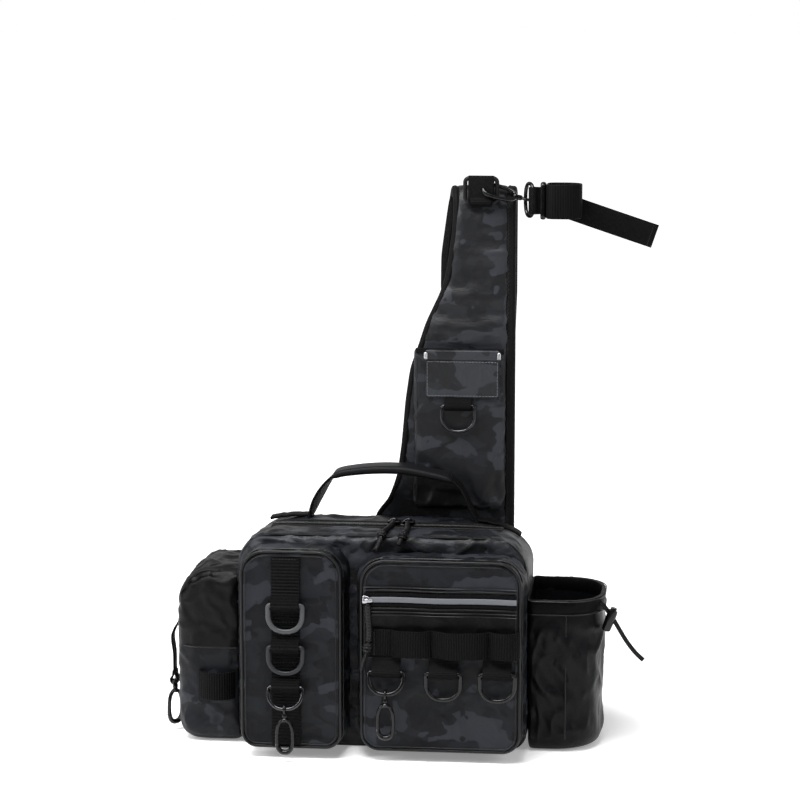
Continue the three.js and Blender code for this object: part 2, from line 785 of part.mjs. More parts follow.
function drawcord() {
  return cordTube(DRAWCORD_ROUTE, DRAW_CORD, 14);
}

// Barrel lock: the cord crosses it near its upper end
function cordLock() {
  const radius = CORD_LOCK.diameter / 2;
  const barrel = new THREE.CylinderGeometry(radius, radius, CORD_LOCK.length, 12)
    .rotateX(Math.PI / 2)
    .translate(0, 0, CORD_LOCK.length * (CORD_LOCK.aboveCord - 0.5))
    .rotateY(THREE.MathUtils.degToRad(CORD_LOCK.lean))
    .translate(...DRAWCORD_ROUTE[3]);
  return cut(barrel, cordTube(DRAWCORD_ROUTE, DRAW_CORD + 2 * CORD_LOCK.clearance, 14));
}

// Planes of the strap's front run and of the pouch on it
const strapRight = BODY.width / 2 - STRAP.fromRight;
const strapFace = bodyBack + CONTACT;
const strapBase = BODY.height - STRAP.overlap;
const strapTop = strapBase + STRAP.rise;
const strapFrontMiddle = strapFace + STRAP.thickness / 2;
const pouchBack = strapFace - CONTACT;
const pouchFace = pouchBack - STRAP_POUCH.thickness;

// Carry handle. The arch is given in shares of the span and of the rise.
const HANDLE_ARCH = [
  { along: 0, up: -0.05 },
  { along: 0.043, up: 0.33 },
  { along: 0.105, up: 0.68 },
  { along: 0.155, up: 0.86 },
  { along: 0.286, up: 0.96 },
  { along: 0.525, up: 1 },
  { along: 0.703, up: 0.92 },
  { along: 0.84, up: 0.8 },
  { along: 0.9, up: 0.62 },
  { along: 0.95, up: 0.27 },
  { along: 1, up: -0.05 },
];

const gripWidth = HANDLE.width + 2 * GRIP.margin;
const handlePlace = pouchFace - GRIP.clearance - gripWidth / 2;
const handleCurve = new THREE.CatmullRomCurve3(
  HANDLE_ARCH.map(({ along, up }) => {
    const x = HANDLE.left + (HANDLE.right - HANDLE.left) * along;
    return new THREE.Vector3(x, handlePlace, BODY.height + HANDLE.rise * up);
  }),
);

function handleStretch(from, to, steps, sectionAt) {
  const route = Array.from({ length: steps + 1 }, (_, step) =>
    handleCurve.getPointAt(from + ((to - from) * step) / steps),
  );
  return sweep(route, AXIS_Y, sectionAt);
}

function handleWebbing() {
  const strip = handleStretch(0, 1, 28, () => rectangle(HANDLE.width, HANDLE.thickness));
  const low = [HANDLE.left - HANDLE.rise, handlePlace - HANDLE.width, 0];
  const high = [HANDLE.right + HANDLE.rise, handlePlace + HANDLE.width, BODY.height + CONTACT];
  return cut(strip, box(low, high));
}

// The grip covers the middle of the arch, as shares of its length, and gets thinner towards its ends
function handleGrip() {
  const [from, to, over] = [0.23, 0.77, 0.02];
  const endThickness = 0.78;
  const taper = (share) => endThickness + (1 - endThickness) * Math.sin(Math.PI * share) ** 0.5;
  const section = (share) => ellipse(gripWidth, GRIP.thickness * taper(share), 10);
  const bore = () => rectangle(HANDLE.width + 2 * CONTACT, HANDLE.thickness + 2 * CONTACT);
  return cut(handleStretch(from, to, 16, section), handleStretch(from - over, to + over, 16, bore));
}

// Sling strap. Heights are shares of its height, reach and inset shares of its width, from its right edge.
const STRAP_FRONT_RUN = [
  { height: 0, reach: 1, inset: 0 },
  { height: 0.09, reach: 1, inset: 0 },
  { height: 0.108, reach: 0.99, inset: 0 },
  { height: 0.141, reach: 0.905, inset: 0 },
  { height: 0.209, reach: 0.84, inset: 0 },
  { height: 0.3, reach: 0.807, inset: 0 },
  { height: 0.417, reach: 0.78, inset: 0 },
  { height: 0.508, reach: 0.746, inset: 0 },
  { height: 0.56, reach: 0.696, inset: 0 },
  { height: 0.631, reach: 0.636, inset: 0 },
  { height: 0.718, reach: 0.528, inset: 0 },
  { height: 0.767, reach: 0.49, inset: 0 },
  { height: 0.88, reach: 0.45, inset: 0 },
];
const STRAP_REAR_RUN = [
  { height: 0.88, reach: 0.516, inset: 0 },
  { height: 0.81, reach: 0.541, inset: 0 },
  { height: 0.71, reach: 0.544, inset: 0 },
  { height: 0.6, reach: 0.5, inset: 0.01 },
  { height: 0.5, reach: 0.43, inset: 0.04 },
  { height: 0.4225, reach: 0.38, inset: 0.07 },
];
const STRAP_FOLD = { frontReach: 0.438, rearReach: 0.49 };
const foldRadius = (STRAP.thickness + STRAP.foldGap) / 2;
const strapRearMiddle = strapFrontMiddle + 2 * foldRadius;
const foldHeight = strapTop - foldRadius - STRAP.thickness / 2;
const strapRearEnd = strapBase + STRAP.rise * STRAP_REAR_RUN.at(-1).height;

function strapSection(reach, inset) {
  const left = strapRight - STRAP.width * reach;
  const right = strapRight - STRAP.width * inset;
  const half = STRAP.thickness / 2;
  const soft = STRAP.thickness * 0.35;
  return [
    [left, -half * 0.35],
    [left + soft, -half],
    [right - soft, -half],
    [right, -half * 0.35],
    [right, half * 0.35],
    [right - soft, half],
    [left + soft, half],
    [left, half * 0.35],
  ];
}

function strapRun(run, y) {
  return run.map(({ height, reach, inset }) => ({ reach, inset, y, z: strapBase + STRAP.rise * height }));
}

function strapPad() {
  const rows = strapRun(STRAP_FRONT_RUN, strapFrontMiddle);
  const foldSteps = 8;
  for (let step = 0; step <= foldSteps; step += 1) {
    const share = step / foldSteps;
    const angle = Math.PI * (1 - share);
    rows.push({
      reach: THREE.MathUtils.lerp(STRAP_FOLD.frontReach, STRAP_FOLD.rearReach, share),
      inset: 0,
      y: strapFrontMiddle + foldRadius + foldRadius * Math.cos(angle),
      z: foldHeight + foldRadius * Math.sin(angle),
    });
  }
  rows.push(...strapRun(STRAP_REAR_RUN, strapRearMiddle));
  const route = rows.map(({ y, z }) => new THREE.Vector3(0, y, z));
  const sections = rows.map(({ reach, inset }) => strapSection(reach, inset));
  const sectionAt = (share) => sections[Math.round(share * (rows.length - 1))];
  return sweep(route, AXIS_X, sectionAt);
}

const pouchRight = strapRight - STRAP_POUCH.rightInset;
const pouchBase = strapBase + STRAP_POUCH.base;
const pouchTop = pouchBase + STRAP_POUCH.height;
const flapTop = pouchTop - STRAP_FLAP.belowTop;
const flapBase = flapTop - STRAP_FLAP.height;
const strapBar = flapBase - STRAP_RING.drop;

function pouchBlock(inset, overrun) {
  const outline = {
    left: pouchRight - STRAP_POUCH.width,
    right: pouchRight,
    base: pouchBase,
    top: pouchTop,
    radii: { baseRight: 13, topRight: 3, topLeft: 3, baseLeft: 7 },
  };
  const edge = quarterRound(STRAP_POUCH.edge, 2).toReversed();
  const face = pouchFace + inset;
  const rows = edge.map(({ depth, inset: drawn }) => ({ y: face + depth, drawn: drawn + inset }));
  rows.push({ y: pouchBack + overrun, drawn: inset });
  const ringAt = ({ y, drawn }) =>
    outlineRing(insetOutline(outline, drawn), (x, z) => new THREE.Vector3(x, y, z));
  return loft(rows.map(ringAt));
}

function strapPouch() {
  return cut(pouchBlock(0, 0), pouchBlock(CLOTH, CLOTH));
}

function strapFlap() {
  const right = strapRight - STRAP_FLAP.rightInset;
  const outline = roundedOutline({
    left: right - STRAP_FLAP.width,
    right,
    base: flapBase,
    top: flapTop,
    radii: { baseRight: 4, topRight: 1.5, topLeft: 1.5, baseLeft: 4 },
    steps: 3,
  });
  const flap = extrude(outline, STRAP_FLAP.thickness).applyMatrix4(FRONT_FRAME);
  return flap.translate(0, pouchFace - CONTACT, 0);
}

const strapRingPlace = new THREE.Vector3(strapRight - STRAP_RING.fromRight, pouchFace - BAR_STAND, strapBar);

function strapRingTab() {
  const tab = loopedWebbing(pouchFace - CONTACT, flapBase - CONTACT, strapBar - LOOP_OUTER, [strapBar]);
  return tab.translate(strapRingPlace.x, 0, 0);
}

// Rear of the sling: webbing sewn behind the pad's end, one plain buckle, webbing down to the lower back
const rearEndRow = STRAP_REAR_RUN.at(-1);
const rearCentre = strapRight - (STRAP.width * (rearEndRow.reach + rearEndRow.inset)) / 2;
const buckleMiddle = strapRearMiddle - 2;
const buckleTop = strapRearEnd - BUCKLE.belowPad + BUCKLE.height / 2;
const buckleBase = buckleTop - BUCKLE.height;

function rearStrip(points) {
  const route = points.map(([y, z]) => new THREE.Vector3(rearCentre, y, z));
  return sweep(route, AXIS_X, () => rectangle(REAR_WEBBING.width, REAR_WEBBING.thickness));
}

function rearWebbingUpper() {
  const behindPad = strapRearMiddle + STRAP.thickness / 2 + CONTACT + REAR_WEBBING.thickness / 2;
  return rearStrip([
    [behindPad, strapRearEnd + REAR_WEBBING.sewn],
    [behindPad, strapRearEnd - 2],
    [behindPad - 3, strapRearEnd - 24],
    [buckleMiddle + 1.5, buckleTop + 14],
    [buckleMiddle, buckleTop + 4],
    [buckleMiddle, buckleTop - BUCKLE.socket + CONTACT],
  ]);
}

function rearWebbingLower() {
  const onBody = bodyBack + CONTACT + REAR_WEBBING.thickness / 2;
  const anchorTop = REAR_WEBBING.anchorHeight + REAR_WEBBING.anchorLength;
  return rearStrip([
    [buckleMiddle, buckleBase + BUCKLE.socket - CONTACT],
    [buckleMiddle, buckleBase - 4],
    [buckleMiddle - 3, buckleBase - 28],
    [onBody + 7, anchorTop + 28],
    [onBody + 1.2, anchorTop + 6],
    [onBody, anchorTop],
    [onBody, REAR_WEBBING.anchorHeight],
  ]);
}

function buckle() {
  const reach = REAR_WEBBING.width / 2 + BUCKLE.margin;
  const outline = roundedOutline({
    left: rearCentre - reach,
    right: rearCentre + reach,
    base: buckleBase,
    top: buckleTop,
    radii: { baseRight: 8, topRight: 8, topLeft: 8, baseLeft: 8 },
    steps: 3,
  });
  const block = extrude(outline, BUCKLE.thickness).applyMatrix4(FRONT_FRAME);
  block.translate(0, buckleMiddle + BUCKLE.thickness / 2, 0);
  const halfWidth = REAR_WEBBING.width / 2 + CONTACT;
  const halfDepth = REAR_WEBBING.thickness / 2 + CONTACT;
  const slot = (base, top) => {
    const low = [rearCentre - halfWidth, buckleMiddle - halfDepth, base];
    return box(low, [rearCentre + halfWidth, buckleMiddle + halfDepth, top]);
  };
  const upper = slot(buckleTop - BUCKLE.socket, buckleTop + 1);
  return cut(block, upper, slot(buckleBase - 1, buckleBase + BUCKLE.socket));
}

// Plastic frame at the top of the strap, its lower bar in a webbing tab
const framePlace = strapFace - BAR_STAND;
const frameCentre = strapRight - FRAME.fromRight;
const frameBar = strapTop - FRAME.belowTop + RING.wireWide / 2;

function shoulderFrame() {
  const half = (FRAME.width - RING.wireWide) / 2;
  const route = roundedOutline({
    left: -half,
    right: half,
    base: 0,
    top: FRAME.height - RING.wireWide,
    radii: { baseRight: 2.6, topRight: 3.4, topLeft: 3.4, baseLeft: 2.6 },
    steps: 3,
  }).map(([x, z]) => new THREE.Vector3(x, 0, z));
  const wire = () => ellipse(RING.wireThick, RING.wireWide, 6);
  return sweep(route, AXIS_Y, wire, true).translate(frameCentre, framePlace, frameBar);
}

function shoulderTab() {
  const tabWidth = FRAME.width - 2 * RING.wireWide - 5;
  const base = frameBar - LOOP_OUTER - 12;
  const tab = loopedWebbing(strapFace - CONTACT, frameBar + 2, base, [frameBar], tabWidth);
  return tab.translate(frameCentre, 0, 0);
}

// Webbing end sewn round a bar, drawn in plan: the bar at the origin, the doubled webbing along +X
function barLoop(length, thickness, hole, height) {
  const outer = hole + thickness;
  const start = Math.asin(thickness / outer);
  const steps = 12;
  const outline = [[length, thickness], [length, -thickness]].toReversed();
  for (let step = 0; step <= steps; step += 1) {
    const angle = start + ((2 * Math.PI - 2 * start) * step) / steps;
    outline.push([outer * Math.cos(angle), outer * Math.sin(angle)]);
  }
  return extrude(outline, height, [circle([0, 0], hole, 12)]);
}

// Rod retaining strap: oval ring, short webbing, tri-glide, open loop, free tail
const rodHeight = frameBar + ROD_STRAP.aboveBar;
const rodPlace = framePlace - ROD_STRAP.forward;
const ovalBar = { x: strapRight + ROD_STRAP.fromStrap, y: rodPlace };
const rodLoopLeft = ovalBar.x + ROD_LOOP.fromRing;
const ovalHole = OVAL_RING.wireWide / 2 + RUNNING + 0.3;
const ovalTurn = THREE.MathUtils.degToRad(OVAL_RING.turn);
const ovalReach = OVAL_RING.height - OVAL_RING.wireWide;
const ovalBow = new THREE.Vector3(
  ovalBar.x - ovalReach * Math.cos(ovalTurn),
  ovalBar.y + ovalReach * Math.sin(ovalTurn),
  rodHeight,
);

function ovalRing() {
  const innerWidth = ROD_WEBBING.width + OVAL_RING.slack;
  return ring({ ...OVAL_RING, innerWidth, shoulder: RING.shoulder })
    .rotateY(Math.PI / 2)
    .rotateZ(-ovalTurn)
    .translate(ovalBar.x, ovalBar.y, rodHeight);
}

function rodWebbing() {
  const length = rodLoopLeft - CONTACT - ovalBar.x;
  const webbing = barLoop(length, ROD_WEBBING.thickness, ovalHole, ROD_WEBBING.width);
  return webbing.translate(ovalBar.x, ovalBar.y, rodHeight - ROD_WEBBING.width / 2);
}

function triGlide() {
  const halfDepth = ROD_WEBBING.thickness + CONTACT;
  const halfHeight = ROD_WEBBING.width / 2 + CONTACT;
  const outer = roundedOutline({
    left: -halfDepth - TRI_GLIDE.wall,
    right: halfDepth + TRI_GLIDE.wall,
    base: -halfHeight - TRI_GLIDE.wall,
    top: halfHeight + TRI_GLIDE.wall,
    radii: { baseRight: 2, topRight: 2, topLeft: 2, baseLeft: 2 },
    steps: 2,
  });
  const slot = [
    [-halfDepth, -halfHeight],
    [halfDepth, -halfHeight],
    [halfDepth, halfHeight],
    [-halfDepth, halfHeight],
  ];
  const start = rodLoopLeft - CONTACT - TRI_GLIDE.length;
  const glide = extrude(outer, TRI_GLIDE.length, [slot]).applyMatrix4(SIDE_FRAME);
  return glide.translate(start, rodPlace, rodHeight);
}

function rodLoop() {
  const { tightCorner, wideCorner } = ROD_LOOP;
  const outline = {
    left: rodLoopLeft,
    right: rodLoopLeft + ROD_LOOP.length,
    base: rodPlace - ROD_LOOP.depth / 2,
    top: rodPlace + ROD_LOOP.depth / 2,
    radii: { baseRight: wideCorner, topRight: wideCorner, topLeft: tightCorner, baseLeft: tightCorner },
  };
  const inner = roundedOutline(insetOutline(outline, ROD_WEBBING.thickness));
  const loop = extrude(roundedOutline(outline), ROD_LOOP.height, [inner]);
  return loop.translate(0, 0, rodHeight - ROD_LOOP.height / 2);
}

// The tail leaves from behind the loop and falls away to the right
function rodTail() {
  const fall = THREE.MathUtils.degToRad(ROD_TAIL.fall);
  const start = rodLoopLeft + ROD_TAIL.lead;
  const behind = rodPlace + ROD_LOOP.depth / 2 + CONTACT + ROD_WEBBING.thickness / 2;
  const length = ROD_LOOP.length - ROD_TAIL.lead + ROD_TAIL.length;
  const steps = 8;
  const route = Array.from({ length: steps + 1 }, (_, step) => {
    const share = step / steps;
    const along = length * share;
    const sway = ROD_TAIL.sway * Math.max(share - 0.25, 0) ** 2;
    const height = rodHeight - ROD_TAIL.lower - along * Math.sin(fall);
    return new THREE.Vector3(start + along * Math.cos(fall), behind + sway, height);
  });
  const across = new THREE.Vector3(Math.sin(fall), 0, Math.cos(fall));
  return sweep(route, across, () => rectangle(ROD_TAIL.width, ROD_WEBBING.thickness));
}

// Puts a drawing into the bag by its three axes and its origin
function place(geometry, xAxis, yAxis, zAxis, origin) {
  return geometry.applyMatrix4(new THREE.Matrix4().makeBasis(xAxis, yAxis, zAxis).setPosition(origin));
}

// Snap hook between the strap's frame and the oval ring: its bow goes round the frame's right side
function shoulderHook() {
  const insideFrame = frameCentre + FRAME.width / 2 - RING.wireWide - 7;
  const bowEnd = new THREE.Vector3(insideFrame, framePlace, frameBar + 11);
  const back = ovalBow.clone().sub(bowEnd).normalize();
  const up = AXIS_Z.clone().addScaledVector(back, -back.z).normalize();
  return place(snapHook(-Math.PI / 4), up, back.clone().cross(up), back, ovalBow);
}

// Hanging strap: flat on the side pocket's wall at its top, then free, and sewn round the hook's bar.
// Down is a share of the way to the bar, out a share of the way from the wall to the bar.
const HANGING_FALL = [
  { down: 0, out: 0 },
  { down: 0.13, out: 0 },
  { down: 0.22, out: 0.43 },
  { down: 0.39, out: 1.12 },
  { down: 0.64, out: 1 },
  { down: 0.91, out: 1 },
];
const hangingWall = bodyLeft - CONTACT - SIDE_POCKET.projection;
const hangingPlace = hangingWall - HANGING_STRAP.stand;
const hangingHole = HOOK.eyeWire / 2 + RUNNING + 0.3;
const hangingBar = new THREE.Vector3(hangingPlace, HANGING_STRAP.place, HANGING_STRAP.barHeight);

function hangingStrap() {
  const onWall = hangingWall - CONTACT - HANGING_STRAP.thickness / 2;
  const top = SIDE_POCKET.height - HANGING_STRAP.belowTop;
  const points = HANGING_FALL.map(({ down, out }) => [
    THREE.MathUtils.lerp(onWall, hangingPlace, out),
    HANGING_STRAP.place,
    THREE.MathUtils.lerp(top, HANGING_STRAP.barHeight, down),
  ]);
  const section = () => rectangle(HANGING_STRAP.width, HANGING_STRAP.thickness);
  const strip = sweep(smoothRoute(points, 14), AXIS_Y, section);
  const loop = barLoop(HANGING_STRAP.loop, HANGING_STRAP.thickness, hangingHole, HANGING_STRAP.width);
  loop.translate(0, 0, -HANGING_STRAP.width / 2);
  return join(strip, place(loop, AXIS_Z, AXIS_X, AXIS_Y, hangingBar));
}

function hangingHook() {
  const bar = {
    innerWidth: HANGING_STRAP.width + 1,
    height: 10,
    wireWide: HOOK.eyeWire,
    wireThick: HOOK.eyeWire,
    shoulder: 1.6,
  };
  const eyeFoot = HOOK.eyeWire - bar.height;
  const hookFoot = HOOK.eyeWire / 2 - HOOK.length + 3;
  const hook = join(ring(bar), hookBody(eyeFoot, hookFoot, Math.PI / 4));
  return place(hook, AXIS_Y, AXIS_X.clone().negate(), AXIS_Z, hangingBar);
}

// Colours and finishes
const LOOKS = {
  camo: { color: 0x2a2b2f, roughness: 0.6, metalness: 0 },
  cloth: { color: 0x141415, roughness: 0.75, metalness: 0 },
  webbing: { color: 0x101011, roughness: 0.8, metalness: 0 },
  plastic: { color: 0x17181a, roughness: 0.4, metalness: 0 },
  greyPlastic: { color: 0x4a4c50, roughness: 0.45, metalness: 0 },
  strip: { color: 0x6a6b6e, roughness: 0.5, metalness: 0 },
  metal: { color: 0xb4b5b8, roughness: 0.3, metalness: 1 },
  cord: { color: 0x1a1a1c, roughness: 0.8, metalness: 0 },
};

const bag = new THREE.Group();

function add(name, look, geometry, position = [0, 0, 0], tilt = 0) {
  const mesh = new THREE.Mesh(geometry, new THREE.MeshStandardMaterial(LOOKS[look]));
  mesh.name = name;
  mesh.position.set(...position);
  mesh.rotation.x = THREE.MathUtils.degToRad(-tilt);
  bag.add(mesh);
}

add("body_shell", "camo", bodyShell());
add("main_zip", "webbing", mainZip());
add("main_zip_slider_left", "metal", mainZipSlider(mainSliders.left));
add("main_zip_slider_right", "metal", mainZipSlider(mainSliders.right));
add("main_zip_pull_left", "cord", cordTube(MAIN_PULL_LEFT, PULL_CORD, 12));
add("main_zip_pull_right", "cord", cordTube(MAIN_PULL_RIGHT, PULL_CORD, 12));

add("left_front_pocket", "camo", frontPocket(LEFT_POCKET));
add("daisy_webbing", "webbing", daisyWebbing());
const ringPlace = pocketFace - BAR_STAND;
const smallRing = { ...RING, height: SMALL_RING_HEIGHT };
const [upperBar, middleBar, lowerBar] = daisyBars;
add("ring_upper", "greyPlastic", ring(RING), [daisyCentre, ringPlace, upperBar]);
add("ring_middle", "greyPlastic", ring(RING), [daisyCentre, ringPlace, middleBar]);
add("ring_lower", "plastic", ring(smallRing), [daisyCentre, ringPlace, lowerBar], HOOK_RING_TILT);
const leftBow = bowPlace(ringPlace, lowerBar, SMALL_RING_HEIGHT, HOOK_RING_TILT);
add("left_snap_hook", "plastic", snapHook(), [daisyCentre, leftBow.y, leftBow.z]);

add("right_front_pocket", "camo", frontPocket(RIGHT_POCKET));
add("pocket_zip", "strip", pocketZip());
add("pocket_zip_slider", "metal", pocketZipSlider());
add("pocket_zip_pull", "cord", cordTube(POCKET_PULL, PULL_CORD, 12));
add("tool_band", "webbing", toolBand());
const [leftTab, middleTab, rightTab] = tabCentres;
add("ring_tab_left", "webbing", ringTab(leftTab));
add("ring_tab_middle", "webbing", ringTab(middleTab));
add("ring_tab_right", "webbing", ringTab(rightTab));
add("pocket_ring_left", "plastic", ring(smallRing), [leftTab, ringPlace, tabBar], HOOK_RING_TILT);
add("pocket_ring_middle", "plastic", ring(RING), [middleTab, ringPlace, tabBar]);
add("pocket_ring_right", "plastic", ring(RING), [rightTab, ringPlace, tabBar]);
const rightBow = bowPlace(ringPlace, tabBar, SMALL_RING_HEIGHT, HOOK_RING_TILT);
add("right_snap_hook", "plastic", snapHook(), [leftTab, rightBow.y, rightBow.z]);

add("left_side_pocket", "camo", sidePocket());
add("side_tool_loop", "webbing", sideLoop());
add("hanging_strap", "webbing", hangingStrap());
add("hanging_hook", "plastic", hangingHook());

add("bottle_pocket", "cloth", bottlePocket());
add("bottle_rim", "webbing", bottleRim());
add("drawcord", "cord", drawcord());
add("cord_lock", "plastic", cordLock());

add("handle_webbing", "webbing", handleWebbing());
add("handle_grip", "webbing", handleGrip());

add("strap_pad", "camo", strapPad());
add("strap_pouch", "camo", strapPouch());
add("strap_flap", "camo", strapFlap());
add("strap_ring_tab", "webbing", strapRingTab());
add("strap_ring", "plastic", ring(RING), strapRingPlace.toArray());
add("rear_webbing_upper", "webbing", rearWebbingUpper());
add("strap_buckle", "plastic", buckle());
add("rear_webbing_lower", "webbing", rearWebbingLower());

add("shoulder_tab", "webbing", shoulderTab());
add("shoulder_frame", "plastic", shoulderFrame());
add("shoulder_hook", "plastic", shoulderHook());
add("oval_ring", "plastic", ovalRing());
add("rod_webbing", "webbing", rodWebbing());
add("tri_glide", "plastic", triGlide());
add("rod_loop", "webbing", rodLoop());
add("rod_tail", "webbing", rodTail());

export default bag;
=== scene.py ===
import math

import bmesh
import bpy
import numpy as np
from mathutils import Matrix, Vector, noise


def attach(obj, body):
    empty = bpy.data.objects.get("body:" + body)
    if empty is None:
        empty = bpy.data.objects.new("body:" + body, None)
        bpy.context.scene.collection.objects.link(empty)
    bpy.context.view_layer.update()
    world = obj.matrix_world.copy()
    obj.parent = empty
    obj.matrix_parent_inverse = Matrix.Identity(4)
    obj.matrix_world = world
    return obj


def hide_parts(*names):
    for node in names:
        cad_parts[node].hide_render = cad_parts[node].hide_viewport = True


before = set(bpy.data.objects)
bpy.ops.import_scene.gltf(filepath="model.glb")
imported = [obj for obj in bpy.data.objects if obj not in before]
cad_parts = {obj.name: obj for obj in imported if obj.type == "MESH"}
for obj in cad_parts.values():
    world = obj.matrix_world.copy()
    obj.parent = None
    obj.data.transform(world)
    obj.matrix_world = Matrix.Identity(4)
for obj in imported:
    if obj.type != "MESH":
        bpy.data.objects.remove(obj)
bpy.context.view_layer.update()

MM = 0.001
AXIS_X = np.array([1.0, 0.0, 0.0])
AXIS_Y = np.array([0.0, 1.0, 0.0])
AXIS_Z = np.array([0.0, 0.0, 1.0])


# Curves and outlines
def unit(vector):
    vector = np.asarray(vector, float)
    return vector / max(np.linalg.norm(vector), 1e-9)


def between(points, share):
    """Point on a centripetal curve, between the middle two of four points"""
    times = [0.0]
    for first, second in zip(points[:-1], points[1:]):
        times.append(times[-1] + max(np.linalg.norm(second - first), 1e-6) ** 0.5)
    now = times[1] + (times[2] - times[1]) * share
    for spans in (((0, 1), (1, 2), (2, 3)), ((0, 2), (1, 3)), ((1, 2),)):
        blended = []
        for start, (low, high) in enumerate(spans):
            part = (now - times[low]) / (times[high] - times[low])
            blended.append(points[start] * (1 - part) + points[start + 1] * part)
        points = blended
    return points[0]


def lengths(points):
    """How far along the route each point lies"""
    steps = np.linalg.norm(np.diff(np.asarray(points, float), axis=0), axis=1)
    return np.concatenate([[0], np.cumsum(steps)])


def spaced(points, count):
    """The same route with evenly spaced points"""
    points = np.asarray(points, float)
    along = lengths(points)
    wanted = np.linspace(0, along[-1], count)
    return np.stack([np.interp(wanted, along, column) for column in points.T], axis=1)


def smooth(points, count):
    """Evenly spaced points on a centripetal curve through the given ones"""
    points = np.asarray(points, float)
    padded = np.vstack([2 * points[0] - points[1], points, 2 * points[-1] - points[-2]])
    fine = []
    for start in range(len(points) - 1):
        for step in range(12):
            fine.append(between(padded[start : start + 4], step / 12))
    fine.append(points[-1])
    return spaced(fine, count)


def evened(outline, count):
    """The same closed outline with evenly spaced points"""
    return spaced(np.vstack([outline, outline[:1]]), count + 1)[:-1]


def filled(outline, spacing):
    """The same closed outline with a point at least at every spacing"""
    length = lengths(np.vstack([outline, outline[:1]]))[-1]
    return evened(outline, max(int(length / spacing), 8) - 1)


def oval(width, height, count=12):
    turns = np.arange(count) * 2 * np.pi / count
    return np.stack([np.cos(turns) * width / 2, np.sin(turns) * height / 2], axis=1)


def corners(left, right, base, top, radii, steps=8):
    """Rounded outline, against the clock; radii are for base right, top right, top left, base left"""
    points = []
    for (x, z, start), radius in zip(((right, base, -90), (right, top, 0), (left, top, 90), (left, base, 180)), radii):
        middle_x = x - radius if x == right else x + radius
        middle_z = z + radius if z == base else z - radius
        for step in range(steps + 1):
            angle = math.radians(start + 90 * step / steps)
            points.append((middle_x + radius * math.cos(angle), middle_z + radius * math.sin(angle)))
    return np.array(points)


def bar(width, thickness, radius=None, steps=3):
    radius = thickness * 0.45 if radius is None else radius
    return corners(-width / 2, width / 2, -thickness / 2, thickness / 2, [radius] * 4, steps)


def quarter(steps):
    """Rise and inset of a rounded edge, as shares of its radius"""
    angles = math.pi / 2 * np.arange(steps + 1) / steps
    return list(zip(1 - np.cos(angles), 1 - np.sin(angles)))


def squared(width, height, across_power, up_power, count):
    """Oval in the XZ plane, drawn towards a rounded rectangle, and how high each point is from -1 to 1"""
    points, ups = [], []
    for step in range(count):
        angle = 2 * math.pi * step / count
        across = math.copysign(abs(math.cos(angle)) ** across_power, math.cos(angle))
        up = math.copysign(abs(math.sin(angle)) ** up_power, math.sin(angle))
        points.append((width / 2 * across, 0, height / 2 * up))
        ups.append(up)
    return np.array(points), np.array(ups)


def placed(outline, axis, at):
    """Flat outline stood across an axis (0, 1 or 2) at one place"""
    return np.insert(np.asarray(outline, float), axis, at, axis=1)


# Parts are points, faces and strip places: across and along, for the weave
def loft(rows, closed=False, strip=None):
    """Rings joined in order, with capped ends or closed on themselves"""
    rows = np.asarray(rows, float)
    count, width = rows.shape[:2]
    faces = []
    for row in range(count if closed else count - 1):
        for column in range(width):
            below, beside = (row + 1) % count, (column + 1) % width
            faces.append((row * width + column, row * width + beside, below * width + beside, below * width + column))
    if not closed:
        faces.append(tuple(range(width))[::-1])
        faces.append(tuple((count - 1) * width + column for column in range(width)))
    points = rows.reshape(-1, 3)
    if strip is None:
        strip = np.zeros((len(points), 2))
    return points, faces, np.asarray(strip, float).reshape(-1, 2)


def sweep(route, outline, across=None, closed=False, turn=0.0):
    """Outline along a route; across leads its first axis, and turn twists it, in radians for each millimetre"""
    route = np.asarray(route, float)
    if closed:
        tangents = np.roll(route, -1, axis=0) - np.roll(route, 1, axis=0)
    else:
        tangents = np.gradient(route, axis=0)
    travelled = lengths(route)
    tangents = [unit(tangent) for tangent in tangents]
    if across is None:
        side = np.cross(tangents[0], AXIS_Z if abs(tangents[0][2]) < 0.9 else AXIS_X)
    rows, strips = [], []
    for index, tangent in enumerate(tangents):
        if across is not None:
            side = np.asarray(across[index] if np.ndim(across) == 2 else across, float)
        side = unit(side - np.dot(side, tangent) * tangent)
        depth = np.cross(tangent, side)
        shape = outline(index / (len(route) - 1)) if callable(outline) else outline
        angle = turn * travelled[index]
        first = side * math.cos(angle) + depth * math.sin(angle)
        second = depth * math.cos(angle) - side * math.sin(angle)
        rows.append(route[index] + shape[:, :1] * first + shape[:, 1:] * second)
        strips.append([(place[0], travelled[index]) for place in shape])
    return loft(rows, closed, strips)


def tube(route, diameter, closed=False, count=12, turn=0.0):
    return sweep(route, oval(diameter, diameter, count), closed=closed, turn=turn)


def turned(profile, count):
    """Round solid along Z, from heights and radii"""
    return loft([placed(oval(2 * radius, 2 * radius, count), 2, z) for z, radius in profile])


def block(low, high, radius=0.6):
    """Box with rounded upright edges and slightly drawn-in ends"""
    outline = corners(low[0], high[0], low[1], high[1], [radius] * 4, 3)
    middle = outline.mean(axis=0)
    span = np.array([high[0] - low[0], high[1] - low[1]])
    rows = []
    for height, drawn in ((low[2], radius), (low[2] + radius, 0), (high[2] - radius, 0), (high[2], radius)):
        rows.append(placed(middle + (outline - middle) * (1 - 2 * drawn / span), 2, height))
    return loft(rows)


def moved(part, by=(0, 0, 0), turn=np.eye(3)):
    points, faces, strip = part
    return points @ turn.T + np.asarray(by, float), faces, strip


def about(axis, degrees):
    """Rotation matrix"""
    angle = math.radians(degrees)
    cross = np.array([[0, -axis[2], axis[1]], [axis[2], 0, -axis[0]], [-axis[1], axis[0], 0]])
    return np.eye(3) + math.sin(angle) * cross + (1 - math.cos(angle)) * cross @ cross


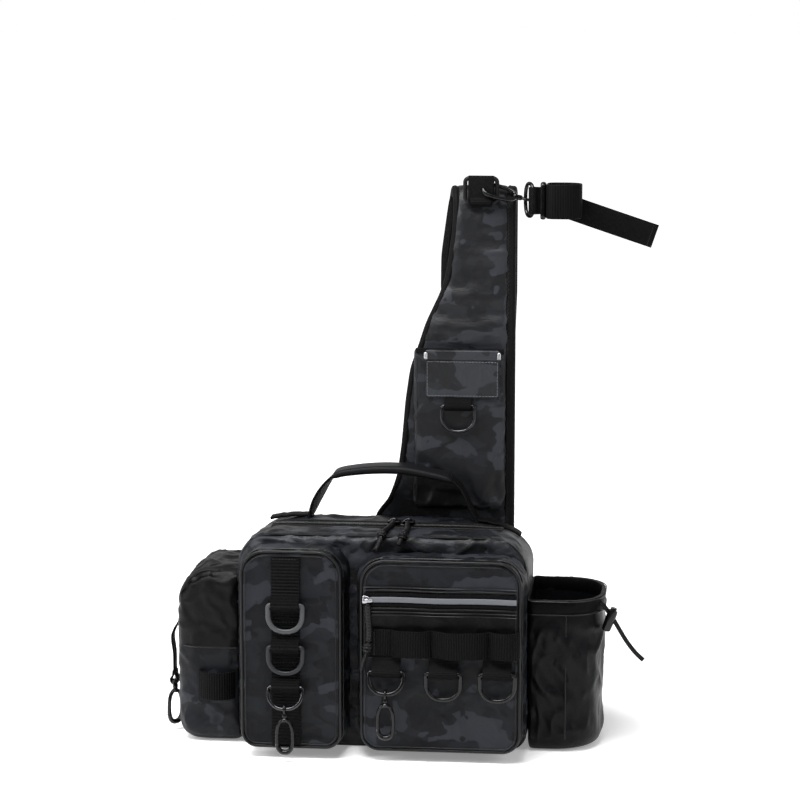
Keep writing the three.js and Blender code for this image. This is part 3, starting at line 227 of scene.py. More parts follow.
# Materials: each is a node graph over the object's own place, in metres
class Graph:
    def __init__(self, name, colour=None, **settings):
        self.material = bpy.data.materials.new(name)
        self.material.use_nodes = True
        self.tree = self.material.node_tree
        self.shader = self.tree.nodes["Principled BSDF"]
        self.place = self.node("TexCoord").outputs["Object"]
        if colour is not None:
            self.shader.inputs["Base Color"].default_value = (*colour, 1)
        for key, value in settings.items():
            self.shader.inputs[key.replace("_", " ")].default_value = value

    def node(self, kind, **settings):
        made = self.tree.nodes.new("ShaderNode" + kind)
        for key, value in settings.items():
            setattr(made, key, value)
        return made

    def feed(self, socket, value):
        if isinstance(value, bpy.types.NodeSocket):
            self.tree.links.new(value, socket)
        elif isinstance(value, tuple) and socket.type == "RGBA":
            socket.default_value = (*value, 1)
        else:
            socket.default_value = value

    def math(self, operation, first, second=0.0, clamp=False):
        made = self.node("Math", operation=operation, use_clamp=clamp)
        self.feed(made.inputs[0], first)
        self.feed(made.inputs[1], second)
        return made.outputs[0]

    def plus(self, first, second):
        return self.math("ADD", first, second)

    def minus(self, first, second):
        return self.math("SUBTRACT", first, second)

    def times(self, first, second):
        return self.math("MULTIPLY", first, second)

    def mix(self, share, first, second):
        made = self.node("Mix", data_type="RGBA")
        for index, value in ((0, share), (6, first), (7, second)):
            self.feed(made.inputs[index], value)
        return made.outputs[2]

    def noise(self, scale, detail=2.0, roughness=0.5, distortion=0.0, place=None):
        made = self.node("TexNoise")
        self.feed(made.inputs["Vector"], place or self.place)
        for key, value in (("Scale", scale), ("Detail", detail), ("Roughness", roughness), ("Distortion", distortion)):
            made.inputs[key].default_value = value
        return made.outputs[0]

    def shifted(self, by, scale):
        made = self.node("Mapping")
        self.feed(made.inputs["Vector"], self.place)
        made.inputs["Location"].default_value = by
        made.inputs["Scale"].default_value = scale
        return made.outputs[0]

    def step(self, value, low, high):
        """0 below low, 1 above high"""
        made = self.node("MapRange", interpolation_type="SMOOTHSTEP")
        self.feed(made.inputs[0], value)
        made.inputs[1].default_value = low
        made.inputs[2].default_value = high
        return made.outputs[0]

    def split(self, vector):
        made = self.node("SeparateXYZ")
        self.feed(made.inputs[0], vector)
        return made.outputs

    def strip(self):
        """Across and along a strip, in metres"""
        return self.split(self.node("Attribute", attribute_name="strip").outputs["Vector"])[:2]

    def wave(self, value, pitch):
        """Wave from -1 to 1 with this pitch in metres"""
        return self.math("SINE", self.times(value, 2 * math.pi / pitch))

    def bump(self, height, distance, strength=1.0, normal=None):
        made = self.node("Bump")
        made.inputs["Strength"].default_value = strength
        made.inputs["Distance"].default_value = distance
        self.feed(made.inputs["Height"], height)
        if normal is not None:
            self.feed(made.inputs["Normal"], normal)
        return made.outputs[0]

    def set(self, name, value):
        self.feed(self.shader.inputs[name], value)
        return self.material


BLACK = (0.0009, 0.0009, 0.001)
CAMO_DARK = (0.0026, 0.0029, 0.0038)
CAMO_BASE = (0.0062, 0.0069, 0.0089)
CAMO_PALE = (0.0185, 0.0205, 0.0255)
CAMO_STRETCH = (0.8, 1.0, 1.15)
THREAD = 0.0009


def cloth_bump(graph, crumple):
    """Fine weave under soft small creases"""
    x, y, z = graph.split(graph.place)
    threads = graph.plus(graph.wave(x, THREAD), graph.plus(graph.wave(y, THREAD), graph.wave(z, THREAD)))
    woven = graph.bump(threads, 0.00005, 0.35)
    soft = graph.noise(55, 3, 0.55, 0.3)
    steep = graph.math("ABSOLUTE", graph.times(graph.minus(graph.noise(38, 3, 0.5, 0.8), 0.5), 5))
    ridges = graph.math("SUBTRACT", 1.0, steep, True)
    return graph.bump(graph.plus(soft, graph.times(ridges, 0.35)), crumple, 0.8, woven)


def camo(name, zone=None, shift=(0, 0, 0), crumple=0.0006, shine=0.12, pale=0.545):
    """Camouflage cloth with a light coating; zone says where the cloth is plain black instead"""
    graph = Graph(name, Specular_IOR_Level=shine)
    x, _, z = shift
    blobs = graph.noise(29, 2.4, 0.55, 0.3, graph.shifted(shift, CAMO_STRETCH))
    others = graph.noise(30, 2.6, 0.55, 0.35, graph.shifted((x + 3.1, 1.7, z + 0.9), CAMO_STRETCH))
    thirds = graph.noise(40, 2.6, 0.55, 0.3, graph.shifted((x + 7.3, 4.1, z + 2.2), CAMO_STRETCH))
    colour = graph.mix(graph.step(blobs, 0.475, 0.485), CAMO_DARK, CAMO_BASE)
    colour = graph.mix(graph.step(others, pale, pale + 0.015), colour, CAMO_PALE)
    colour = graph.mix(graph.step(thirds, 0.575, 0.585), colour, CAMO_DARK)
    colour = graph.mix(graph.times(graph.noise(16), 0.5), colour, CAMO_DARK)
    if zone:
        colour = graph.mix(zone(graph), colour, BLACK)
    graph.set("Base Color", colour)
    graph.set("Roughness", graph.plus(graph.times(graph.noise(90), 0.14), 0.4))
    return graph.set("Normal", cloth_bump(graph, crumple))


def nylon(name, colour, roughness=0.5, crumple=0.0005, specular=0.06):
    graph = Graph(name, colour, Roughness=roughness, Specular_IOR_Level=specular)
    return graph.set("Normal", cloth_bump(graph, crumple))


def webbing(name, pitch, ribs, kind="rib", across_pitch=0.0012, specular=0.055):
    """Woven strap; its ribs run across it, upright along it, or slant as twill"""
    graph = Graph(name, Roughness=0.62, Specular_IOR_Level=specular)
    across, along = graph.strip()
    if kind == "twill":
        main = graph.wave(graph.plus(across, along), pitch)
        height = graph.plus(main, graph.times(graph.wave(graph.minus(across, along), pitch / 2), 0.4))
    elif kind == "upright":
        height = graph.plus(graph.wave(across, pitch), graph.times(graph.wave(along, pitch), 0.25))
    else:
        height = graph.plus(graph.wave(along, pitch), graph.times(graph.wave(across, across_pitch), 0.3))
    # Painted light and shade on the weave: the rib crests are painted lighter and the grooves darker
    pale = tuple(channel * 3.2 for channel in BLACK)
    graph.set("Base Color", graph.mix(graph.step(height, -1.0, 1.0), BLACK, pale))
    return graph.set("Normal", graph.bump(height, ribs, 0.7))


def plain(name, colour, roughness, metal=0.0, specular=0.3, rough_bump=0.00001):
    """Moulded or cast surface with slight marks and a slightly uneven gloss"""
    graph = Graph(name, colour, Metallic=metal, Specular_IOR_Level=specular)
    worn = graph.times(graph.minus(graph.noise(160, 3, 0.6), 0.5), 0.25)
    graph.set("Roughness", graph.plus(worn, roughness))
    return graph.set("Normal", graph.bump(graph.noise(420, 3, 0.6), rough_bump, 0.6))


def braid(name):
    graph = Graph(name, (0.004, 0.004, 0.0045), Roughness=0.45, Specular_IOR_Level=0.2)
    across, along = graph.strip()
    wide = graph.times(across, 1.4)
    threads = [graph.wave(slope, 0.0022) for slope in (graph.plus(wide, along), graph.minus(wide, along))]
    return graph.set("Normal", graph.bump(graph.math("MAXIMUM", *threads), 0.00022, 0.8))


def pocket_zone(graph):
    """Black band between the zip and the ring tabs on the pocket's front"""
    _, y, z = graph.split(graph.place)
    height = graph.minus(graph.step(z, 0.0902, 0.0906), graph.step(z, 0.1376, 0.138))
    return graph.times(height, graph.math("LESS_THAN", y, -0.0835))


def side_zone(graph):
    """The side pocket is black above its seam"""
    return graph.step(graph.split(graph.place)[2], 0.0836, 0.084)


CAMO = camo("camo")
CAMO_STRAP = camo("camo_strap", shift=(0.31, 0, 0.17), crumple=0.0009, shine=0.24, pale=0.51)
CAMO_FLAP = camo("camo_flap", shift=(0.52, 0, 0.11), crumple=0.0007, shine=0.3, pale=0.485)
CAMO_BODY = camo("camo_body", shift=(0.6, 0, 0.3), crumple=0.0012, shine=0.19, pale=0.5)
CAMO_POCKET = camo("camo_pocket", pocket_zone, (0.9, 0, 0.4))
CAMO_SIDE = camo("camo_side", side_zone, (0.2, 0.5, 0.1))
NYLON = nylon("black_nylon", BLACK)
LINING = nylon("lining", (0.0022, 0.0022, 0.0025), 0.6)
SMOOTH_NYLON = nylon("smooth_nylon", (0.0017, 0.0018, 0.0023), 0.36, 0.0008, 0.095)
PIPING = nylon("piping", (0.0028, 0.0028, 0.0031), 0.36, 0.0001, 0.22)
GRIP_CLOTH = nylon("grip_cloth", (0.0032, 0.0033, 0.0039), 0.5, 0.0002, 0.1)
RIBBED = webbing("ribbed_webbing", 0.0028, 0.0006)
PLAIN_WEB = webbing("plain_webbing", 0.0013, 0.00018, across_pitch=0.0013)
TWILL = webbing("twill_webbing", 0.0016, 0.0002, "twill")
FINE_RIBS = webbing("fine_ribbed_webbing", 0.0022, 0.00012)
ELASTIC = webbing("elastic", 0.0021, 0.00032, "upright")
BINDING = webbing("binding", 0.001, 0.00012, across_pitch=0.0016, specular=0.08)
PLASTIC = plain("black_plastic", (0.002, 0.002, 0.0023), 0.2, specular=0.24)
MATT_PLASTIC = plain("matt_plastic", (0.0045, 0.0045, 0.005), 0.4, specular=0.2, rough_bump=0.00003)
GREY_PLASTIC = plain("grey_plastic", (0.036, 0.037, 0.04), 0.36, rough_bump=0.00002)
# Darker copy of the grey plastic: painted shade on the middle ring, and also the pouch seam's grey
SHADED_RING_AND_SEAM_GREY = plain("shaded_ring_and_seam_grey_plastic", (0.013, 0.0135, 0.0155), 0.36, specular=0.2)
BLACK_METAL = plain("black_metal", (0.014, 0.014, 0.0155), 0.24, metal=1.0)
BRIGHT_METAL = plain("bright_metal", (0.72, 0.72, 0.73), 0.3, metal=1.0)
CHROME = plain("chrome", (0.3, 0.3, 0.315), 0.24, metal=1.0)
GUNMETAL = plain("gunmetal", (0.044, 0.044, 0.047), 0.22, metal=1.0)
STITCH = plain("stitch_thread", (0.014, 0.014, 0.0155), 0.7, specular=0.12)
PALE_STITCH = plain("pale_stitch", (0.09, 0.093, 0.105), 0.6, specular=0.2)
STRIP = plain("pale_strip", (0.09, 0.094, 0.105), 0.5, specular=0.2)
COIL = plain("zip_coil", (0.006, 0.006, 0.0066), 0.35, specular=0.2)
BRAID = braid("braided_cord")


# Pieces
def build(name, parts, material, node=None, body="root", sharp=38):
    """One mesh from its parts, on its body, in place of its solid where node names one"""
    points, faces, strips = [], [], []
    start = 0
    for part_points, part_faces, part_strip in parts:
        points.append(part_points)
        strips.append(part_strip)
        faces.extend(tuple(start + index for index in face) for face in part_faces)
        start += len(part_points)
    mesh = bpy.data.meshes.new(name)
    mesh.from_pydata((np.vstack(points) * MM).tolist(), [], faces)
    flat = np.zeros((start, 3), np.float32)
    flat[:, :2] = np.vstack(strips) * MM
    mesh.attributes.new("strip", "FLOAT_VECTOR", "POINT").data.foreach_set("vector", flat.ravel())
    work = bmesh.new()
    work.from_mesh(mesh)
    bmesh.ops.recalc_face_normals(work, faces=work.faces)
    work.to_mesh(mesh)
    work.free()
    mesh.materials.append(material)
    mesh.shade_smooth()
    mesh.set_sharp_from_angle(angle=math.radians(sharp))
    piece = bpy.data.objects.new(name, mesh)
    bpy.context.scene.collection.objects.link(piece)
    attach(piece, body)
    if node:
        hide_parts(node)
    return piece


def strap(name, route, width, thickness, material, node=None, across=AXIS_X, radius=None, closed=False):
    """Flat webbing along a route"""
    part = sweep(route, bar(width, thickness, radius), across, closed)
    return build(name, [part], material, node)


def stitched(name, lines, pitch=3.0, length=1.9, diameter=0.55, material=STITCH):
    """Short thread stitches along each line"""
    parts = []
    for line in lines:
        count = max(int(lengths(line)[-1] / pitch), 1)
        fine = spaced(line, count * 8 + 1)
        reach = max(int(round(8 * length / pitch)), 2)
        for index in range(count):
            piece = fine[index * 8 : index * 8 + reach + 1]
            parts.append(tube(piece[:: max(reach // 2, 1)], diameter, count=5))
    return build(name, parts, material)


def read(piece, kind):
    flat = np.empty(len(piece.data.vertices) * 3, np.float32)
    piece.data.vertices.foreach_get(kind, flat)
    return flat.reshape(-1, 3).astype(float)


def places(piece):
    return read(piece, "co") / MM


def place(piece, points):
    piece.data.vertices.foreach_set("co", (points * MM).astype(np.float32).ravel())
    piece.data.update()


def limit(piece, *limits):
    """Keeps every point between low and high along each named axis"""
    points = places(piece)
    for axis, low, high in limits:
        points[:, axis] = np.clip(points[:, axis], low, high)
    place(piece, points)


def baked(piece, kind, **settings):
    """Applies one modifier by taking the changed mesh"""
    modifier = piece.modifiers.new(kind.lower(), kind)
    for key, value in settings.items():
        setattr(modifier, key, value)
    ready = piece.evaluated_get(bpy.context.evaluated_depsgraph_get())
    mesh = bpy.data.meshes.new_from_object(ready)
    piece.modifiers.clear()
    old, piece.data = piece.data, mesh
    bpy.data.meshes.remove(old)


def shell(name, rings, material, node, voxel):
    """Closed soft form of camouflage cloth with an even mesh"""
    piece = build(name, [loft(rings)], material, node)
    baked(piece, "REMESH", mode="VOXEL", voxel_size=voxel * MM)
    return piece


def finer(piece, levels=1):
    baked(piece, "SUBSURF", levels=levels, render_levels=levels)
    piece.data.shade_smooth()


PUFF_FRAMES = 14


def puff(piece, held, pressure, cap):
    """Blows a shell up as cloth, lets it buckle, and keeps each point within cap of where it was"""
    start = places(piece)
    group = piece.vertex_groups.new(name="held")
    for index, weight in enumerate(held(start)):
        group.add([index], float(weight), "REPLACE")
    cloth = piece.modifiers.new("cloth", "CLOTH")
    settings = cloth.settings
    settings.quality = 6
    settings.mass = 0.2
    settings.vertex_group_mass = "held"
    settings.tension_stiffness = settings.compression_stiffness = 12
    settings.shear_stiffness = 6
    settings.bending_stiffness = 0.4
    settings.use_pressure = True
    settings.uniform_pressure_force = pressure
    settings.shrink_min = -0.012
    settings.effector_weights.gravity = 0
    cloth.point_cache.frame_start = 1
    cloth.point_cache.frame_end = PUFF_FRAMES
    scene = bpy.context.scene
    for number in range(1, PUFF_FRAMES + 1):
        scene.frame_set(number)
    ready = piece.evaluated_get(bpy.context.evaluated_depsgraph_get())
    flat = np.empty(len(start) * 3, np.float32)
    ready.data.vertices.foreach_get("co", flat)
    piece.modifiers.clear()
    scene.frame_set(1)
    shift = flat.reshape(-1, 3) / MM - start
    length = np.linalg.norm(shift, axis=1, keepdims=True)
    place(piece, start + shift * np.minimum(1, cap / np.maximum(length, 1e-9)))
    piece.vertex_groups.clear()


def crease(piece, depth, size, seed, mask=None, stretch=(1, 1, 1), floor=0.0):
    """Pushes points along their normals by ridged noise, deep where mask is 1"""
    points, out = places(piece), read(piece, "normal")
    share = np.ones(len(points)) if mask is None else mask(points)
    bias = np.array([seed * 7.3, seed * 3.1, seed * 5.7])
    shift = np.zeros(len(points))
    for index, point in enumerate(points * (np.array(stretch) / size) + bias):
        if share[index] > 0.01:
            at = Vector(point)
            warp = noise.noise_vector(at * 0.6) * 0.8
            ridge = 1 - abs(noise.noise(at + warp)) * 2.4
            soft = noise.fractal(at * 0.7, 1.0, 2.0, 3)
            shift[index] = depth * (0.55 * max(ridge, 0) ** 2 + 0.45 * soft - 0.15 + floor)
    place(piece, points + out * (shift * share)[:, None])


def ramp(values, low, high):
    share = np.clip((values - low) / (high - low), 0, 1)
    return share * share * (3 - 2 * share)


# Main compartment
LEFT, RIGHT, TOP = -123, 123, 184
BODY_FRONT = -47.5
BODY_EDGE = 6.0
GROUND = 0.1


def body_outline(drawn):
    radii = [max(radius - drawn, 1) for radius in (16, 32, 30, 16)]
    return corners(LEFT + drawn, RIGHT - drawn, drawn, TOP - drawn, radii, 10)


def droop(points):
    """The top sinks towards the back right, and a little at the back left"""
    x, y, z = points.T
    back = ramp(y, -20, 48)
    sunk = 9 * ramp(x, 62, 118) * back + 4.5 * ramp(-x, 70, 115) * back + 1.0 * ramp(y, -47, 10)
    out = points.copy()
    out[:, 2] -= sunk * ramp(z, 120, 184)
    return out


def body():
    rows = [(BODY_FRONT + BODY_EDGE * rise, BODY_EDGE * inset) for rise, inset in quarter(4)]
    rows += [(-y, drawn) for y, drawn in reversed(rows)]
    count = len(filled(body_outline(BODY_EDGE), 6))
    rings = [placed(evened(body_outline(drawn), count), 1, y) for y, drawn in rows]
    piece = shell("body_cover", rings, CAMO_BODY, "body_shell", 4.5)
    place(piece, droop(places(piece)))

    def held(points):
        x, y, z = points.T
        seam = np.maximum(ramp(-np.abs(np.abs(y) - 42), -7, -2), ramp(-z, -14, -6))
        panel = np.maximum(ramp(np.abs(x), 112, 121), ramp(y, 40, 46))
        middle = ramp(-np.abs(y), -15, -11) * ramp(z, 150, 170)
        return np.clip(np.maximum.reduce([seam * 0.85, panel * 0.9, middle]), 0, 1)

    def loose(points):
        _, y, z = points.T
        top = ramp(z, 165, 182) * ramp(np.abs(y), 14, 20)
        return np.clip(ramp(-y, 30, 44) + 0.5 * top, 0.12, 1) * ramp(z, 4, 16)

    puff(piece, held, 0.6, 3)
    finer(piece)
    crease(piece, 3.6, 17, 1, loose, (0.75, 1, 1.4))
    limit(piece, (2, GROUND, None), (1, None, 47.4))
    points = places(piece)
    zip_bed = (np.abs(points[:, 1]) < 13.5) & (points[:, 2] > 170)
    points[zip_bed, 2] = np.minimum(points[zip_bed, 2], 183.6)
    place(piece, points)


def body_ring(y, drawn):
    return filled(droop(placed(body_outline(drawn), 1, y)), 3)


body()
build("body_front_piping", [tube(body_ring(-43.6, 1.6), 2.2, True, 8)], PIPING)
strap("body_back_binding", body_ring(44.2, 1.4), 6.5, 1.6, BINDING, across=AXIS_Y, closed=True)


# Main zip: tapes, coil and the folded edges of the cloth beside it
def zip_line(y, height, count=60):
    line = droop(np.linspace((-98.5, y, TOP), (98.5, y, TOP), count))
    line[:, 2] += height
    return line


def main_zip():
    tapes, coils, folds = [], [], []
    for side in (-1, 1):
        tapes.append(sweep(zip_line(side * 6.2, 0.1), bar(11.6, 0.7), AXIS_Y))
        line = zip_line(side * 1.1, 0.9, 170 * 6 + 1)
        phase = np.arange(len(line)) * 2 * np.pi / 6
        line[:, 1] += np.cos(phase) * side
        line[:, 2] += 0.55 * np.sin(phase)
        coils.append(tube(line, 0.7, count=4))
        folds.append(tube(zip_line(side * 11.6, 0.3), 2.0, count=8))
        folds.append(tube(zip_line(side * 15.8, -0.1), 0.8, count=6))
    build("main_zip_tape", tapes, PLAIN_WEB, "main_zip")
    build("main_zip_coil", coils, COIL)
    build("main_zip_folds", folds, PIPING)


main_zip()

# Front pockets
FACE = -87.5
FRONT = FACE - 0.3


def pocket_ring(y, box, flare, drawn, radii, count):
    share = (y - FACE) / 39.7
    left = box[0] - flare[0] * share + drawn
    right = box[1] + flare[1] * share - drawn
    radii = [max(radius - drawn, 1) for radius in radii]
    return placed(evened(corners(left, right, box[2] + drawn, box[3] - drawn, radii, 10), count), 1, y)


def pocket(name, box, flare, radii, material, node, seed, wrinkle):
    edge = 3.2
    rows = [(FACE + 0.5 + edge * rise, edge * inset + 0.2) for rise, inset in quarter(3)]
    rows += [(-66, 0.6), (-52, 0.2), (-46, 1.5)]
    rings = [pocket_ring(y, box, flare, drawn, radii, 150) for y, drawn in rows]
    piece = shell(name, rings, material, node, 3.2)

    def inside(points):
        x, _, z = points.T
        return np.minimum.reduce([x - box[0], box[1] - x, z - box[2], box[3] - z])

    def held(points):
        y = points[:, 1]
        return np.clip(np.maximum(ramp(-y, 82.5, 84.5) * 0.75, ramp(y, -56, -50)), 0, 1)

    def loose(points):
        gusset = ramp(points[:, 1], -84, -80)
        return np.clip(gusset * 0.9 + (1 - gusset) * ramp(inside(points), 1, 8) * wrinkle, 0, 1)

    def ring(depth, drawn):
        return pocket_ring(FACE + depth, box, flare, drawn, radii, 260)

    # The face's middle lies a little behind its piped edge
    points = places(piece)
    points[:, 1] += 1.3 * ramp(inside(points), 1.5, 12) * ramp(-points[:, 1], 80, 86)
    place(piece, points)
    puff(piece, held, 0.8, 2.4)
    finer(piece)
    crease(piece, 1.7, 15, seed, loose, (1, 0.8, 0.8))
    limit(piece, (1, FACE + 0.15, None))
    build(name + "_piping", [tube(ring(1.9, 0.5), 2.6, True, 10)], PIPING)
    seams = [tube(ring(depth, drawn), size, True, 6) for depth, drawn, size in ((0.1, 3.6, 0.7), (11, -0.1, 1.5))]
    build(name + "_seams", seams, PIPING)
    seam = ring(12.4, -0.2)
    stitched(name + "_stitches", [np.vstack([seam, seam[:1]])])


LEFT_BOX = (-113.3, -30.3, 10, 177)
RIGHT_BOX = (-12.8, 119, 10, 171)
pocket("left_pocket_cover", LEFT_BOX, (3, 4), (13, 20, 20, 13), CAMO, "left_front_pocket", 3, 0.55)
pocket("right_pocket_cover", RIGHT_BOX, (8, 4), (15, 20, 20, 15), CAMO_POCKET, "right_front_pocket", 5, 0.7)

# Rings and hooks
RING_HALF, RING_SHOULDER, RING_WIDE, RING_THICK = 14.4, 2.4, 3.8, 3.2
DAISY_X = -75.5
BAR_Y = -92.2


def ring_route(height):
    """D-ring's centreline in the XZ plane: the bar at the origin, the bow below"""
    drop = height - RING_WIDE
    bow = min(RING_HALF, drop - RING_SHOULDER)
    shoulder = [(RING_HALF - 1.6, 0.0), (RING_HALF - 0.5, -0.5), (RING_HALF, -1.6)]
    route = list(shoulder)
    for step in range(1, 24):
        angle = math.pi * step / 24
        across = math.copysign(abs(math.cos(angle)) ** 0.86, math.cos(angle))
        route.append((RING_HALF * across, -(drop - bow) - bow * math.sin(angle) ** 0.92))
    route += [(-x, z) for x, z in reversed(shoulder)]
    return placed(evened(np.array(route), 72), 1, 0)


def d_ring(name, node, at, height, material, body="root", tilt=0, thin=1.0, flat=1.0):
    wire = oval(RING_WIDE * thin * flat, RING_THICK * thin, 14)
    part = sweep(ring_route(height), wire[:, ::-1], AXIS_Y, True)
    build(name, [moved(part, at, about(AXIS_X, -tilt))], material, node, body)


DAISY_BARS = (132.6, 97, 63)
upper, middle, lower = [(DAISY_X, BAR_Y, height) for height in DAISY_BARS]
d_ring("upper_ring_look", "ring_upper", upper, 26, GREY_PLASTIC, "upper_ring", flat=1.12)
# The middle ring is the same grey plastic as the upper ring; its darker copy is painted shade
d_ring("middle_ring_look", "ring_middle", middle, 26, SHADED_RING_AND_SEAM_GREY, "middle_ring")
d_ring("lower_ring_look", "ring_lower", lower, 22, GUNMETAL, tilt=20, thin=0.8)
TABS = (("left", 8.6, 22, "root", 20), ("middle", 55.9, 26, "pocket_middle_ring", 0))
TABS += (("right", 100.6, 26, "pocket_right_ring", 0),)
for side, x, height, ring_body, tilt in TABS:
    look = "pocket_ring_look_" + side
    d_ring(look, "pocket_ring_" + side, (x, BAR_Y, 78), height, PLASTIC, body=ring_body, tilt=tilt)
d_ring("strap_ring_look", "strap_ring", (57, 35.8, 281.5), 26, GUNMETAL, body="strap_d_ring", thin=0.72)


def hook_parts(degrees=0):
    """Snap hook hanging from the origin, its eye in the YZ plane and the rest turned from the XZ plane"""
    neck = ((-2.9, 1.7), (-4.0, 2.3), (-6.6, 2.3), (-7.2, 1.7), (-7.9, 2.6), (-9.0, 3.2), (-10.4, 2.6))
    route, ups = squared(2 * 6.55, 2 * 13.8, 0.75, 0.8, 44)
    route[:, 0] *= 1 - 0.06 * ups
    route[:, 2] -= 23.0

    def wire(share):
        return oval(4.08, 3.4) * (0.95 + 0.35 * max(math.sin(math.pi * (2 * share - 1)), 0) ** 1.5)

    gate = block((-8.0, -2.15, -30.5), (-5.2, 2.15, -29.6), 0.4)
    below = [turned(neck, 16), sweep(route, wire, AXIS_Y, True), gate]
    eye = tube(placed(oval(6.8, 6.8, 28), 0, 0), 2.2, True, 10)
    return [eye] + [moved(part, turn=about(AXIS_Z, degrees)) for part in below]


for side, at in (("left", (DAISY_X, -98.42, 45.9)), ("right", (8.6, -98.42, 60.9))):
    parts = [moved(part, at) for part in hook_parts()]
    build(side + "_hook_look", parts, PLASTIC, side + "_snap_hook")


# Ribbed webbing on the left pocket, its loops round the rings' bars
def round_bar(x, y, z, radius, start, count):
    """Points down the front of a bar, one every 30 degrees"""
    turns = np.radians(start - 30 * np.arange(count))
    return [(x, y - radius * math.cos(turn), z + radius * math.sin(turn)) for turn in turns]


def daisy():
    route = [(DAISY_X, FRONT - 0.9, 172)]
    for height in DAISY_BARS:
        route += [(DAISY_X, FRONT - 0.9, height + 9), (DAISY_X, FRONT - 3.2, height + 6)]
        route += round_bar(DAISY_X, BAR_Y, height, 3.6, 50, 5)
        route.append((DAISY_X, FRONT - 1.6, height - 6))
    route.append((DAISY_X, FRONT - 0.9, 13))
    strap("daisy_look", smooth(route, 260), 24, 1.6, RIBBED, "daisy_webbing", radius=0.6)
    lines = [[(-86, FRONT - 1.9, height), (-65, FRONT - 1.9, height)] for height in (171, 118, 84)]
    stitched("daisy_stitches", lines, pitch=2.6, length=1.7, diameter=0.6)


daisy()

# Ring tabs below the tool band
for side, x, *_ in TABS:
    route = [(x, FRONT - 0.9, 90.6), (x, FRONT - 1.2, 87), (x, FRONT - 3, 84)]
    route += round_bar(x, BAR_Y, 78, 3.6, 60, 6)
    route += [(x, FRONT - 1.6, 75.6), (x, FRONT - 1.0, 79)]
    strap("ring_tab_look_" + side, smooth(route, 60), 24, 1.6, PLAIN_WEB, "ring_tab_" + side, radius=0.6)

# Elastic bands, sewn down between their bulges
BAND_THICK = 1.8
BULGES = ((0.14, 0.41, 8.5), (0.41, 0.8, 10.5), (0.8, 1, 8.5))


def band(name, node, ends, base, top, y, bulges, steps, sag):
    route = []
    for step in range(steps + 1):
        share = step / steps
        lift = 0.0
        for start, end, depth in bulges:
            if start < share < end:
                lift = (depth - BAND_THICK) * math.sin(math.pi * (share - start) / (end - start)) ** 0.62
        x = ends[0] + (ends[1] - ends[0]) * share
        route.append((x, y - BAND_THICK / 2 - lift, (top + base) / 2 + sag * math.sin(step * 0.35)))
    points, faces, strip = sweep(route, bar(top - base, BAND_THICK, 0.7), AXIS_Z)
    build(name, [(points, faces, strip[:, ::-1])], ELASTIC, node)


band("tool_band_look", "tool_band", (-4, 118), 91.1, 113.9, FRONT, BULGES, 90, 0.15)
tacks = []
for share in (0.02, 0.14, 0.41, 0.8, 0.985):
    x = -4 + 122 * share
    tacks.append([(x, FACE - 2.5, 92.5), (x, FACE - 2.5, 112.5)])
stitched("tool_band_tacks", tacks, pitch=2.4, length=1.8, diameter=0.7)
seam = np.linspace((-10, FACE - 0.5, 89.6), (117, FACE - 0.5, 89.6), 40)
build("tool_band_seam", [tube(seam, 1.2, count=6)], PIPING)


# Pocket zip
ZIP_Z = 138.8


def pocket_line(rise, y):
    return [(x, y, ZIP_Z + rise + 0.25 * math.sin(x * 0.09)) for x in np.linspace(-10, 116, 50)]


tapes = [sweep(pocket_line(rise, FRONT - 0.5), bar(3.0, 0.8), AXIS_Z) for rise in (-4.3, 4.3)]
build("pocket_zip_tape", tapes, PLAIN_WEB)
strip = sweep(pocket_line(0, FRONT - 0.9), bar(4.6, 1.5, 0.6), AXIS_Z)
build("pocket_zip_look", [strip], STRIP, "pocket_zip")
FOLDS = ((7.6, 1.5), (10.2, 0.8), (-7.4, 1.3), (-10.6, 0.9), (-13.2, 0.8))
folds = [tube(pocket_line(rise, FACE - 0.1), size, count=6) for rise, size in FOLDS]
build("pocket_zip_folds", folds, PIPING)

SLIDER_ROWS = (
    (-0.5, 0.5, 0.3),
    (-0.42, 0.62, 0.52),
    (-0.1, 0.78, 0.55),
    (0.25, 1.0, 0.5),
    (0.46, 0.9, 0.42),
    (0.5, 0.7, 0.3),
)


def slider(name, node, material, at, turn, length, width, height):
    """Zip slider with its long side along X before its turn"""
    rows = []
    for share, wide, tall in SLIDER_ROWS:
        outline = bar(width * wide, height * tall, height * 0.12) + [0, height * 0.3]
        rows.append(placed(outline, 0, share * length))
    arch = []
    for share in np.linspace(0, 1, 14):
        arch.append((length * (share - 0.5) * 0.75, 0, height * (0.5 + 0.42 * math.sin(math.pi * share))))
    parts = [loft(rows), sweep(arch, oval(width * 0.3, height * 0.22, 8), AXIS_Y)]
    build(name, [moved(part, at, turn) for part in parts], material, node)


for side, x in (("left", 5.7), ("right", 17.9)):
    slider(side + "_slider", "main_zip_slider_" + side, BLACK_METAL, (x, 0, 184.6), np.eye(3), 11, 7, 5)
upright = about(AXIS_X, 90) @ about(AXIS_Z, 180)
slider("pocket_slider", "pocket_zip_slider", CHROME, (-7.3, FRONT, ZIP_Z), upright, 8.4, 6.8, 4.4)

